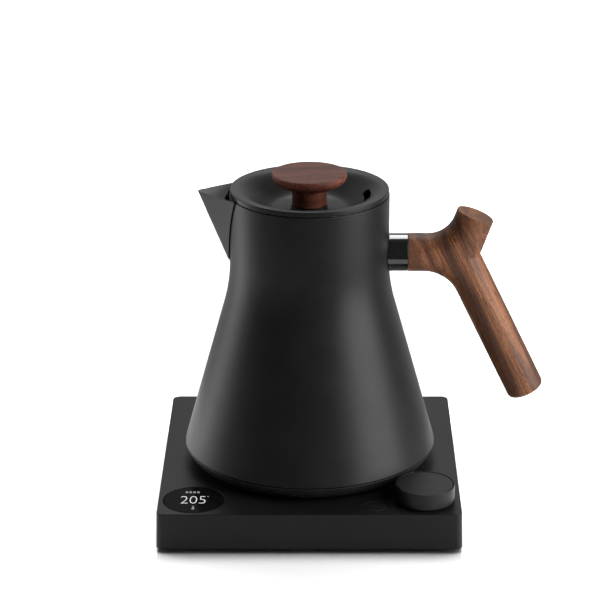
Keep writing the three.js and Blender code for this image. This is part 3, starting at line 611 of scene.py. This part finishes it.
def base_pieces():
    base_housing()
    bottom_cover()
    for corner, (sx, sy) in CORNERS.items():
        foot = rounded((0, 0.35), (3, 0.35, 0.2), (3, 0, 0.2), (7, 0, 0.6), (7, BASE_BOTTOM, 0.1),
                       (0, BASE_BOTTOM))
        place = (sx * FOOT_PLACE, sy * FOOT_PLACE)
        dress(turned("pad_" + corner, foot, 64, place=place), "base", "rubber", "foot_" + corner)
        screw("underside_screw_" + corner, "base", "base_screw_" + corner, 2.7, 1.4, 1.4, 10, BASE_BOTTOM,
              (sx * SCREW_X, sy * SCREW_Y))
    flange_top = PLATE_UNDER - GAP
    flange = flange_top - 2.5
    top, groove = BASE_TOP + 5.5, BASE_TOP - 6
    connector = rounded(
        (0, flange - 4), (16, flange - 4, 0.3), (16, flange), (23, flange, 0.3), (23, flange_top, 0.3),
        (17, flange_top), (17, top, 0.8), (14.4, top, 0.3), (14.4, groove), (12, groove), (12, top, 0.3),
        (2.6, top, 0.5), (2.6, groove), (0, groove))
    dress(turned("base_connector", connector), "base", "plastic_black", "power_connector")


# ---------------------------------------------------------------- display

LENS_R, LENS_TOP = 17, BASE_TOP - 0.05
MARK_RISE = 0.03
READOUT = ((-7.4, 6.7), (-4.8, 4.9), (LENS_TOP, LENS_TOP + MARK_RISE))  # X, Y and Z spans on the display


def flat_marks(name, loops):
    """Thin raised plates from closed outlines in millimetres about the display's centre."""
    points, faces = [], []
    for loop in loops:
        start, count = len(points), len(loop)
        for height in (LENS_TOP, LENS_TOP + MARK_RISE):
            points += [(x, y, height) for x, y in loop]
        faces.append(tuple(range(start, start + count)))
        faces.append(tuple(range(start + count, start + 2 * count)))
        for i in range(count):
            j = (i + 1) % count
            faces.append((start + i, start + j, start + count + j, start + count + i))
    return make(name, points, faces, 0, DISPLAY_PLACE)


def lens():
    """The glass, with a ring engraved near its edge."""
    bottom, engraved = BASE_TOP - 1.6, BASE_TOP - 0.12
    outline = rounded(
        (0, bottom), (LENS_R, bottom, 0.2), (LENS_R, LENS_TOP, 0.25), (16.2, LENS_TOP, 0.1),
        (16.1, engraved, 0.05), (15.8, engraved, 0.05), (15.7, LENS_TOP, 0.1), (0, LENS_TOP))
    dress(turned("lens", outline, place=DISPLAY_PLACE), "base", "display_gloss", "display_lens")


def numerals():
    """A three-figure readout, stretched to its place on the glass."""
    text = bpy.data.curves.new("readout", "FONT")
    text.body = "205"
    text.extrude = 0.02
    text.space_character = 0.98
    text.offset = -0.02
    source = bpy.data.objects.new("readout_source", text)
    bpy.context.scene.collection.objects.link(source)
    mesh = bpy.data.meshes.new_from_object(source.evaluated_get(bpy.context.evaluated_depsgraph_get()))
    bpy.data.objects.remove(source)
    low = [min(v.co[axis] for v in mesh.vertices) for axis in range(3)]
    high = [max(v.co[axis] for v in mesh.vertices) for axis in range(3)]
    for vertex in mesh.vertices:
        x, y, z = [first + (last - first) * (vertex.co[axis] - low[axis]) / (high[axis] - low[axis])
                   for axis, (first, last) in enumerate(READOUT)]
        vertex.co = ((x + DISPLAY_PLACE[0]) * MM + AXIS_X, (y + DISPLAY_PLACE[1]) * MM, z * MM)
    obj = bpy.data.objects.new("readout_numerals", mesh)
    bpy.context.scene.collection.objects.link(obj)
    clean(mesh)
    dress(obj, "base", "display_gloss", material="lit_marks")


def small_marks():
    """A degree sign, a row of four bars over the readout and a drop under it."""

    def dot(x, y, radius_x, radius_y):
        angles = [2 * math.pi * k / 24 for k in range(24)]
        return [(x + radius_x * math.cos(a), y + radius_y * math.sin(a)) for a in angles]

    def bar(x, y, width, height):
        corners = ((x, y), (x + width, y), (x + width, y + height), (x, y + height))
        return rounded(*[(*corner, 0.3) for corner in corners], steps=4)

    loops = [dot(7.9, 4.4, 0.45, 0.7)]
    loops += [bar(-5 + 2.15 * i, 8.9, 1.45, 2.3) for i in range(4)]
    loops += [bar(-0.35, -10.4, 0.9, 2.3), dot(0.1, -11.3, 0.85, 1.1)]
    dress(flat_marks("readout_marks", loops), "base", "display_gloss", material="faint_marks")


# ---------------------------------------------------------------- dial and button


def dial():
    bottom = BASE_TOP + 1
    top = bottom + 9.25
    hollow = top - 3
    cap = rounded(
        (0, hollow), (3.35, hollow), (3.35, bottom + 0.6, 0.1), (5.4, bottom + 0.6, 0.2), (5.4, hollow),
        (14.6, hollow), (14.6, bottom, 0.2), (16.6, bottom, 0.35), (16.6, top, 0.45), (15.9, top, 0.2),
        (15.9, top - 1.45), (0, top - 1.45))
    dress(turned("dial_body", cap, 160, place=DIAL_PLACE), "dial", "plastic_black", "dial_cap")
    inlay = rounded((0, top - 1.1), (15.6, top - 1.1, 0.1), (15.6, top - 0.25, 0.2), (0, top - 0.25))
    dress(turned("dial_face", inlay, 160, place=DIAL_PLACE), "dial", "plastic_black", "dial_inlay")


def button():
    stem = 16.65
    under = PLATE_UNDER - GAP
    outline = rounded(
        (0, stem), (2, stem, 0.2), (2, under - 1.4), (7.5, under - 1.4, 0.2), (7.5, under, 0.2), (6.3, under),
        (6.3, BASE_TOP, 0.3), (0.9, BASE_TOP, 0.1), (0.8, BASE_TOP - 0.12), (0, BASE_TOP - 0.12))
    dress(turned("button_face", outline, 96, place=BUTTON_PLACE), "button", "plastic_black", "button_cap")


# ---------------------------------------------------------------- jug

FOOT_R, FOOT_Z, NECK_R, JUG_TOP, SHEET = 72.65, 9.8, 45.3, 159.7, 0.9
SLOPE, NECK_ROUND = 0.2785, 97  # how fast the cone narrows, and the radius that turns it into the neck
CONE = math.atan(SLOPE)
NECK_START = FOOT_Z + (FOOT_R - NECK_R) / SLOPE + NECK_ROUND * math.tan(CONE / 2)
THIRDS = [math.radians(a) for a in (30, 150, 270)]
PROBE_PLACE = (-28, 0)
COVER_FOOT, COVER_WALL, SOCKET_R = 0.3, 1.5, 30


def shell_radius(z, offset=0):
    """Radius of the shell's outer face, moved outwards by an offset."""
    tangent_z = NECK_START - (NECK_ROUND - offset) * math.sin(CONE)
    if z < tangent_z:
        return FOOT_R - SLOPE * (z - FOOT_Z) + offset / math.cos(CONE)
    if z > NECK_START:
        return NECK_R + offset
    radius = NECK_ROUND - offset
    return NECK_R + NECK_ROUND - math.sqrt(radius ** 2 - (NECK_START - z) ** 2)


def shell_face(offset, bottom, top, steps=36):
    heights = [bottom + (top - bottom) * k / steps for k in range(steps + 1)]
    return [(shell_radius(z, offset), z) for z in heights]


def filled_jug(offset):
    """A cutter with the jug's outer face, moved outwards by an offset."""
    face = shell_face(offset, FOOT_Z + 1, JUG_TOP + 12, 60)
    return turned("cutter", [(0, FOOT_Z + 1), *face, (0, JUG_TOP + 12)], LARGE, BASE_TOP)


NOSE_X, TIP_Z, LEAN = -63.05, 161.2, 0.41  # the fold's tip, and how far it slants back for each mm down
BACK_X, BACK_DROP = -41, 1  # the top edge is this much lower at this X than at the tip
HALF_ANGLE, FOLD_R, SPOUT_SHEET = math.radians(40.7), 3.7, 0.9


def spout_line(inset, reaches):
    """Outline of the folded sheet with points at these reaches along both its sides, its nose at x = 0."""
    radius = FOLD_R - inset
    limb = math.pi / 2 + HALF_ANGLE  # where the fold's round meets the straight side
    points = []
    steps = 18
    for k in range(steps + 1):
        angle = limb + (2 * math.pi - 2 * limb) * k / steps
        points.append((FOLD_R + radius * math.cos(angle), radius * math.sin(angle)))
    direction = (math.cos(HALF_ANGLE), math.sin(HALF_ANGLE))
    first, last = points[0], points[-1]
    upper = [(first[0] + r * direction[0], first[1] + r * direction[1]) for r in reversed(reaches)]
    lower = [(last[0] + r * direction[0], last[1] - r * direction[1]) for r in reaches]
    return upper + points + lower


def on_line(point, z):
    """Where the sheet's slanting line through an outline point is at a height."""
    return Vector((NOSE_X + LEAN * (TIP_Z - z) + point[0], point[1], z))


def line_span(point, gap):
    """Heights at which a slanting line comes out of the neck and meets the spout's top edge."""
    fall = BACK_DROP / (BACK_X - NOSE_X)
    top = TIP_Z
    for _ in range(12):
        top = TIP_Z - fall * (on_line(point, top).x - NOSE_X)
    low, high = 100.0, top
    if on_line(point, top).xy.length < shell_radius(top, gap):
        return top, top
    for _ in range(40):
        middle = (low + high) / 2
        if on_line(point, middle).xy.length < shell_radius(middle, gap):
            low = middle
        else:
            high = middle
    return high, top


def sheet_height(point, gap):
    low, top = line_span(point, gap)
    return top - low


def folded_sheet(name, outside, inside, gap, edge, drop=0, rise=200):
    """
    A folded sheet between two insets. It starts a gap off the neck and ends a drop under the top edge, or a
    rise over its start if that is lower. Its top has rounded edges.
    """
    reach_end = 36.0
    while sheet_height(spout_line(outside, [reach_end])[-1], gap) < 0.8 + drop:
        reach_end -= 0.05
    reaches = [reach_end * (1 - (1 - k / 34) ** 1.4) for k in range(1, 35)]
    slant = Vector((-LEAN, 0, 1)).normalized()
    ease = edge / (inside - outside)
    top_edge = ((0, edge), (ease * 0.13, edge * 0.5), (ease * 0.5, edge * 0.13), (ease, 0))
    top_edge += ((0.5, 0), *((1 - share, depth) for share, depth in reversed(top_edge)))
    steps = 26
    rows = []
    for out, within in zip(spout_line(outside, reaches), spout_line(inside, reaches)):
        out_low, out_top = line_span(out, gap)
        in_low, in_top = line_span(within, gap)
        out_top, in_top = min(out_top - drop, out_low + rise), min(in_top - drop, in_low + rise)
        in_low = min(in_low, in_top - 0.4)
        row = [on_line(out, out_low + (out_top - out_low) * k / steps) for k in range(steps)]
        for share, depth in top_edge:
            row.append(on_line(out, out_top).lerp(on_line(within, in_top), share) - slant * depth)
        row += [on_line(within, in_low + (in_top - in_low) * k / steps) for k in range(steps - 1, -1, -1)]
        rows.append(row)
    row_size = len(rows[0])
    points = [tuple(p) for row in rows for p in row]
    faces = []
    for i in range(len(rows) - 1):
        for k in range(row_size):
            m = (k + 1) % row_size
            faces.append((i * row_size + k, i * row_size + m, (i + 1) * row_size + m, (i + 1) * row_size + k))
    faces.append(tuple(range(row_size)))
    faces.append(tuple(range(len(points) - row_size, len(points))))
    return make(name, points, faces, BASE_TOP)


def spout():
    """The sheet, a lighter skin on its inside that is painted light on the sheet's inner face, and a
    near-black strip in its joint with the neck that is a painted shadow in the gap.
    """
    dress(folded_sheet("spout_fold", 0, SPOUT_SHEET, 0.8, 0.22), "jug", "coat_black", "spout", sharp=50)
    # A lighter skin just inside the sheet: painted light on the spout's inner face.
    painted_light_skin = folded_sheet("spout_inner_painted_light", SPOUT_SHEET + 0.02, SPOUT_SHEET + 0.14, 0.9, 0.04, drop=0.25)
    dress(painted_light_skin, "jug", "coat_black", material="spout_painted_light", sharp=50)
    # A near-black strip inside the joint with the neck: a painted shadow in the gap.
    seam = folded_sheet("spout_joint_painted_shadow", 0.3, SPOUT_SHEET - 0.2, 0.03, 0.05, rise=2.2)
    dress(seam, "jug", "coat_black", material="seam_painted_shadow", sharp=50)


def jug_shell():
    """The jug's sheet, with rounded rims and a window to the spout."""
    corners = []
    for face in (shell_face(0, FOOT_Z, JUG_TOP), shell_face(-SHEET, FOOT_Z, JUG_TOP)[::-1]):
        corners += [(*face[0], 0.35), *face[1:-1], (*face[-1], 0.35)]
    shell = turned("jug_body", rounded(*corners), LARGE, BASE_TOP)
    outline = spout_line(SPOUT_SHEET + 0.8, [30])
    window = [[tuple(on_line(point, z)) for point in outline] for z in (122, 151)]
    dress(carve(shell, make("cutter", *skin(window), BASE_TOP)), "jug", "coat_black", "jug_shell")


def jug_floor():
    low, high = 12.4, 13.4
    edge = [(shell_radius(z, -SHEET - GAP), z, 0.2) for z in (low, high)]
    plate = turned("jug_base_plate", rounded((0, low), *edge, (0, high)), LARGE, BASE_TOP)
    dress(carve(plate, rod(3, low - 1, high + 1, PROBE_PLACE, BASE_TOP)), "jug", "steel", "jug_floor")
    probe = rounded((0, 5), (2.6, 5, 0.2), (2.6, 21.9, 1.1), (1.2, 22.6, 0.5), (0, 22.6))
    dress(turned("probe_tip", probe, 48, BASE_TOP, PROBE_PLACE), "jug", "steel", "temperature_probe")
    seal = rounded(
        (2.95, 13.75, 0.15), (5.4, 13.75, 0.15), (5.4, 15.0, 0.5), (4.2, 15.55, 0.4), (2.95, 15.55, 0.2))
    dress(turned("probe_grommet", seal, 64, BASE_TOP, PROBE_PLACE), "jug", "silicone", "probe_seal")


def skirt_side(inset):
    """The quarter of an ellipse that turns the underside up into the side, moved inwards by an inset."""
    start = 61.5
    foot = COVER_FOOT + inset
    width = FOOT_R - 0.7 - start - inset
    top = FOOT_Z - GAP
    turn = [(-math.pi / 2) * (1 - k / 14) for k in range(15)]
    return [(start + width * math.cos(a), top + (top - foot) * math.sin(a)) for a in turn]


def jug_cover():
    """The underside, with a bead round its top and a hole round the connector."""
    outer, inner = skirt_side(0), skirt_side(COVER_WALL)[::-1]
    bead_low, bead_high, bead_r = 8.6, 9.35, 72.5
    hole_r = SOCKET_R + GAP
    corners = [(hole_r, COVER_FOOT, 0.3), *[p for p in outer if p[1] < 8.5], (outer[-1][0], bead_low),
               (bead_r, bead_low, 0.3), (bead_r, bead_high, 0.3), (inner[0][0], bead_high, 0.25), *inner[1:],
               (hole_r, COVER_FOOT + COVER_WALL, 0.3)]
    shell = turned("jug_underside", rounded(*corners), LARGE, BASE_TOP)
    places = [(50 * math.cos(a), 50 * math.sin(a)) for a in THIRDS]
    combine(shell, "UNION", *[rod(4.6, 0.8, 4.7, place, BASE_TOP, 48) for place in places])
    carve(shell, *[rod(3.1, -1, 2.6, place, BASE_TOP, 48) for place in places])
    carve(shell, *[rod(SCREW_HOLE_R, 0, 9, place, BASE_TOP, 24) for place in places])
    dress(shell, "jug", "plastic_black", "jug_bottom_cover")
    for i, place in enumerate(places, 1):
        screw(f"underside_screw_{i}", "jug", f"cover_screw_{i}", 2.7, 1.5, 1.4, 6.25, 2.3, place, BASE_TOP)


def coupling():
    cup = rounded(
        (0, 6.1), (17.6, 6.1), (17.6, COVER_FOOT, 0.3), (SOCKET_R, COVER_FOOT, 0.2), (SOCKET_R, 1.8, 0.2),
        (20.4, 1.8, 0.2), (20.4, 8.3, 0.3), (0, 8.3))
    dress(turned("jug_socket", cup, MEDIUM, BASE_TOP), "jug_coupling", "plastic_black", "jug_connector")
    pin = rounded((0, -4), (1.9, -4, 0.9), (1.9, 5.75), (0, 5.75))
    dress(turned("pin", pin, 32, BASE_TOP), "jug_coupling", "brass", "earth_pin")
    ring = rounded((12.7, -4, 0.3), (13.7, -4, 0.3), (13.7, 5.75), (12.7, 5.75))
    dress(turned("ring_contact", ring, MEDIUM, BASE_TOP), "jug_coupling", "brass", "contact_ring")


# ---------------------------------------------------------------- handle

ROD_R, HANDLE_Z, FERRULE_END = 10.9, 124.5, 55.5
FORK = Vector((85.45, 123.4))  # X and Z of the point where the axes of the two limbs cross
HALF_TURNS = [math.pi * (k / 24 - 0.5) for k in range(25)]


def ferrule():
    start, end, bore = 39, FERRULE_END + 0.3, 7.2
    tube = rounded((bore, start), (ROD_R, start), (ROD_R, end, 0.15), (bore, end, 0.2))
    obj = lay_along_x(turned("ferrule", tube, MEDIUM), HANDLE_Z + BASE_TOP)
    dress(carve(obj, filled_jug(GAP)), "jug", "ferrule_gloss", "handle_ferrule")


def half_tube(path):
    """Rows of points round half of a rod. A path step is (centre, outward normal, radius) in the XZ plane."""
    rows = []
    for centre, normal, radius in path:
        outs = [centre + normal * (radius * math.cos(turn)) for turn in HALF_TURNS]
        rows.append([(out.x, radius * math.sin(turn), out.y) for out, turn in zip(outs, HALF_TURNS)])
    return rows


class Limb:
    """A limb of the fork, with the bend that leads into it from the arm."""

    def __init__(self, angle, inside_round, length, corner, crown=0):
        self.angle = angle
        self.side = math.copysign(1, angle)
        self.bend = inside_round + ROD_R
        self.along = Vector((math.cos(angle), math.sin(angle)))
        self.away = Vector((math.sin(abs(angle)), -self.side * math.cos(angle)))
        reach = self.bend * math.tan(abs(angle) / 2)
        rise = (HANDLE_Z - FORK.y) / math.sin(angle)
        self.bend_start = FORK.x + rise * math.cos(angle) - reach  # by its X
        bend_end = rise + reach  # by its distance from the fork point, as all that follows
        turns = [k * math.pi / 16 for k in range(9)]
        flat = ROD_R - corner
        self.end = [(length - corner * (1 - math.sin(a)), flat + corner * math.cos(a)) for a in turns]
        self.end += [(length + crown * (1 - share ** 2), flat * share) for share in (0.8, 0.6, 0.4, 0.2, 0)]
        self.stations = [bend_end + (self.end[0][0] - bend_end) * k / 8 for k in range(9)]

    def on_axis(self, distance):
        return FORK + self.along * distance

    def inner_rows(self, bends_start):
        """
        The half of arm, bend and limb that faces into the bend, from the bore in the arm to the limb's end.
        Also the numbers of the row where the first of both bends begins and of the row where this bend ends.
        """
        side = Vector((0, self.side))
        mouth, bore_end, bore = FERRULE_END + GAP, FERRULE_END + 24, 3.35
        arm = [(bore_end, 0), (bore_end, bore), (mouth, bore), (mouth, 7), (mouth, ROD_R - 0.35),
               (mouth + 0.1, ROD_R - 0.1), (mouth + 0.35, ROD_R)]
        straight = arm[-1][0]
        arm += [(straight + (bends_start - straight) * k / 4, ROD_R) for k in range(1, 5)]
        begin = len(arm) - 1
        if self.bend_start > bends_start + 0.01:
            arm.append((self.bend_start, ROD_R))
        path = [(Vector((x, HANDLE_Z)), side, radius) for x, radius in arm]
        for k in range(1, 25):
            swept = abs(self.angle) * k / 24
            across, fall = self.bend * math.sin(swept), self.bend * (1 - math.cos(swept))
            centre = Vector((self.bend_start + across, HANDLE_Z + self.side * fall))
            path.append((centre, Vector((-math.sin(swept), self.side * math.cos(swept))), ROD_R))
        finish = len(path) - 1
        path += [(self.on_axis(station), -self.away, ROD_R) for station in self.stations[1:]]
        path += [(self.on_axis(distance), -self.away, radius) for distance, radius in self.end[1:]]
        return half_tube(path), begin, finish

    def outer_rows(self, half_angle, fillet):
        """The far half from the limb's end to where the fillet between the limbs begins."""
        path = [(self.on_axis(distance), self.away, radius) for distance, radius in reversed(self.end)]
        path += [(self.on_axis(station), self.away, ROD_R) for station in reversed(self.stations[:-1])]
        rows = half_tube(path)
        for k in range(1, 9):
            row = []
            for turn in HALF_TURNS:
                distance = ROD_R * math.cos(turn)
                nearest = (distance + fillet) / math.tan(half_angle)
                reached = self.stations[0] + (nearest - self.stations[0]) * k / 8
                out = self.on_axis(reached) + self.away * distance
                row.append((out.x, ROD_R * math.sin(turn), out.y))
            rows.append(row)
        return rows


def fillet_rows(first, last, half_angle, fillet, middle_angle):
    """Rows of the concave round between the far sides of the two limbs."""
    bisector = Vector((math.cos(middle_angle), math.sin(middle_angle)))
    rows = []
    for k in range(1, 6):
        row = []
        for start, stop, turn in zip(first, last, HALF_TURNS):
            centre = FORK + bisector * ((ROD_R * math.cos(turn) + fillet) / math.sin(half_angle))
            first_spoke, last_spoke = Vector(start[::2]) - centre, Vector(stop[::2]) - centre
            spoke = first_spoke.lerp(last_spoke, k / 6).normalized() * fillet
            row.append((centre.x + spoke.x, ROD_R * math.sin(turn), centre.y + spoke.y))
        rows.append(row)
    return rows


def handle():
    """One skin of three half rods, closed by a flat on the front and one on the back between their axes."""
    stub = Limb(math.radians(70), 16, 25.2, 0.35)
    grip = Limb(math.radians(-64.25), 22, 92.7, 2.5, 0.3)
    bends_start = min(stub.bend_start, grip.bend_start)
    upper, upper_begin, upper_end = stub.inner_rows(bends_start)
    lower, lower_begin, lower_end = grip.inner_rows(bends_start)
    half_angle, fillet = (stub.angle - grip.angle) / 2, 1.2
    stub_far, grip_far = stub.outer_rows(half_angle, fillet), grip.outer_rows(half_angle, fillet)
    between = fillet_rows(stub_far[-1], grip_far[-1], half_angle, fillet, (stub.angle + grip.angle) / 2)
    far = stub_far + between + grip_far[::-1]
    inside = len(stub_far) - 8  # rows of either limb that lie beyond the flats
    points, faces = [], []
    for rows in (upper, lower, far):
        base, size = len(points), len(rows[0])
        points += [p for row in rows for p in row]
        for i in range(len(rows) - 1):
            for k in range(size - 1):
                a = base + i * size + k
                faces.append((a, a + 1, a + size + 1, a + size))
    for index in (0, -1):
        loop = [row[index] for row in upper[upper_begin:upper_end + 1]]
        loop += [row[index] for row in far[inside:len(far) - inside]]
        loop += [row[index] for row in lower[lower_end:lower_begin:-1]]
        faces.append(tuple(range(len(points), len(points) + len(loop))))
        points += loop
    dress(make("handle_fork", points, faces, BASE_TOP), "jug", "walnut", "handle_grip", sharp=55)


# ---------------------------------------------------------------- lid

LID_R, LID_TOP, LIP_R, DISH_R, DISH_Z = 44.95, 162.85, 42.6, 19.5, 151
LID_SHEET, LID_BORE = 1, 2.4
VENT_R, VENT_HALF, VENT_W = 32.8, math.radians(12), 3.8


def vent_slot():
    """A cutter for a slot that follows a circle round the lid's middle and has round ends."""
    outline = []
    half = VENT_W / 2
    for sign in (1, -1):
        for k in range(13):
            angle, radius = sign * (2 * VENT_HALF * k / 12 - VENT_HALF), VENT_R + sign * half
            outline.append((radius * math.cos(angle), radius * math.sin(angle)))
        x, y = VENT_R * math.cos(VENT_HALF), sign * VENT_R * math.sin(VENT_HALF)
        start = VENT_HALF if sign > 0 else math.pi - VENT_HALF
        for k in range(1, 12):
            angle = start + math.pi * k / 12
            outline.append((x + half * math.cos(angle), y + half * math.sin(angle)))
    return make("cutter", *skin([[(x, y, z) for x, y in outline] for z in (146, 176)]), BASE_TOP)


def dish_slope(drop):
    """The curve of the dish's top face from its lip to its middle, lowered by a drop."""
    lip, middle = LID_TOP - drop, DISH_Z - drop
    third = (LIP_R - DISH_R) / 3
    return bezier((LIP_R, lip), (LIP_R - third, lip), (DISH_R + third, middle), (DISH_R, middle), 30)


def lid_pieces():
    rim, inside = LID_TOP - 2.8, LID_R - LID_SHEET
    dish = rounded(
        (LID_R, rim, 0.3), (LID_R, LID_TOP, 0.6), *dish_slope(0), (LID_BORE, DISH_Z),
        (LID_BORE, DISH_Z - LID_SHEET), *dish_slope(LID_SHEET)[::-1], (inside, LID_TOP - LID_SHEET),
        (inside, rim, 0.3))
    dress(carve(turned("lid_top", dish, LARGE, BASE_TOP), vent_slot()), "lid", "coat_black", "lid_dish")
    skirt = rounded((42.5, 146, 0.3), (43.3, 146, 0.3), (43.3, 161.5), (42.5, 161.5))
    dress(turned("lid_collar", skirt, LARGE, BASE_TOP), "lid", "steel", "lid_skirt")
    plate = rounded((LID_BORE, 146.9), (42.15, 146.9, 0.2), (42.15, 147.7, 0.2), (LID_BORE, 147.7))
    angles = [math.radians(a) for a in (-40, -20, 0, 20, 40)]
    steam = [rod(2.6, 146, 149, (VENT_R * math.cos(a), VENT_R * math.sin(a)), BASE_TOP, 48) for a in angles]
    dress(carve(turned("lid_inner_plate", plate, LARGE, BASE_TOP), *steam), "lid", "steel", "lid_underplate")
    gasket = rounded(
        (43.6, 151, 0.1), (44.0, 151.2, 0.1), (44.15, 152, 0.3), (44.0, 152.8, 0.1), (43.6, 153, 0.1))
    dress(turned("lid_seal", gasket, LARGE, BASE_TOP), "lid", "silicone", "lid_gasket")
    collar = rounded((LID_BORE, 151.35), (10.4, 151.35, 0.2), (10.4, 152.9, 0.25), (LID_BORE, 152.9))
    dress(turned("knob_washer", collar, MEDIUM, BASE_TOP), "lid", "plastic_black", "knob_collar")


def knob():
    top, bottom, stem, edge = 171.9, 153.25, 9.8, 21.3
    bore_top = top - 5
    bowl = bezier((stem, top - 8.4), (stem + 5, top - 8), (20.7, top - 6.6), (edge, top - 1.6), 24)
    outline = rounded(
        (LID_BORE, bottom), (stem, bottom, 0.3), *bowl, (edge, top, 0.75), (0, top), (0, bore_top),
        (LID_BORE, bore_top))
    obj = turned("lid_knob", outline, MEDIUM, BASE_TOP)
    dress(obj, "lid", "walnut", "knob", material="walnut_knob", sharp=50)
    screw("knob_fixing", "lid", "knob_screw", 4, 1.8, 2, 18, 146.55, (0, 0), BASE_TOP)


# ---------------------------------------------------------------- assembly

SLOT_OF = {part["node"]: part["material_slot"] for part in frame["record"]["subparts"]}
for node, obj in frame["nodes"].items():
    obj.data.materials.clear()
    obj.data.materials.append(MATERIALS[SLOT_OF[node]])

base_pieces()
lens()
numerals()
small_marks()
dial()
button()
coupling()
jug_shell()
spout()
jug_floor()
jug_cover()
ferrule()
handle()
lid_pieces()
knob()
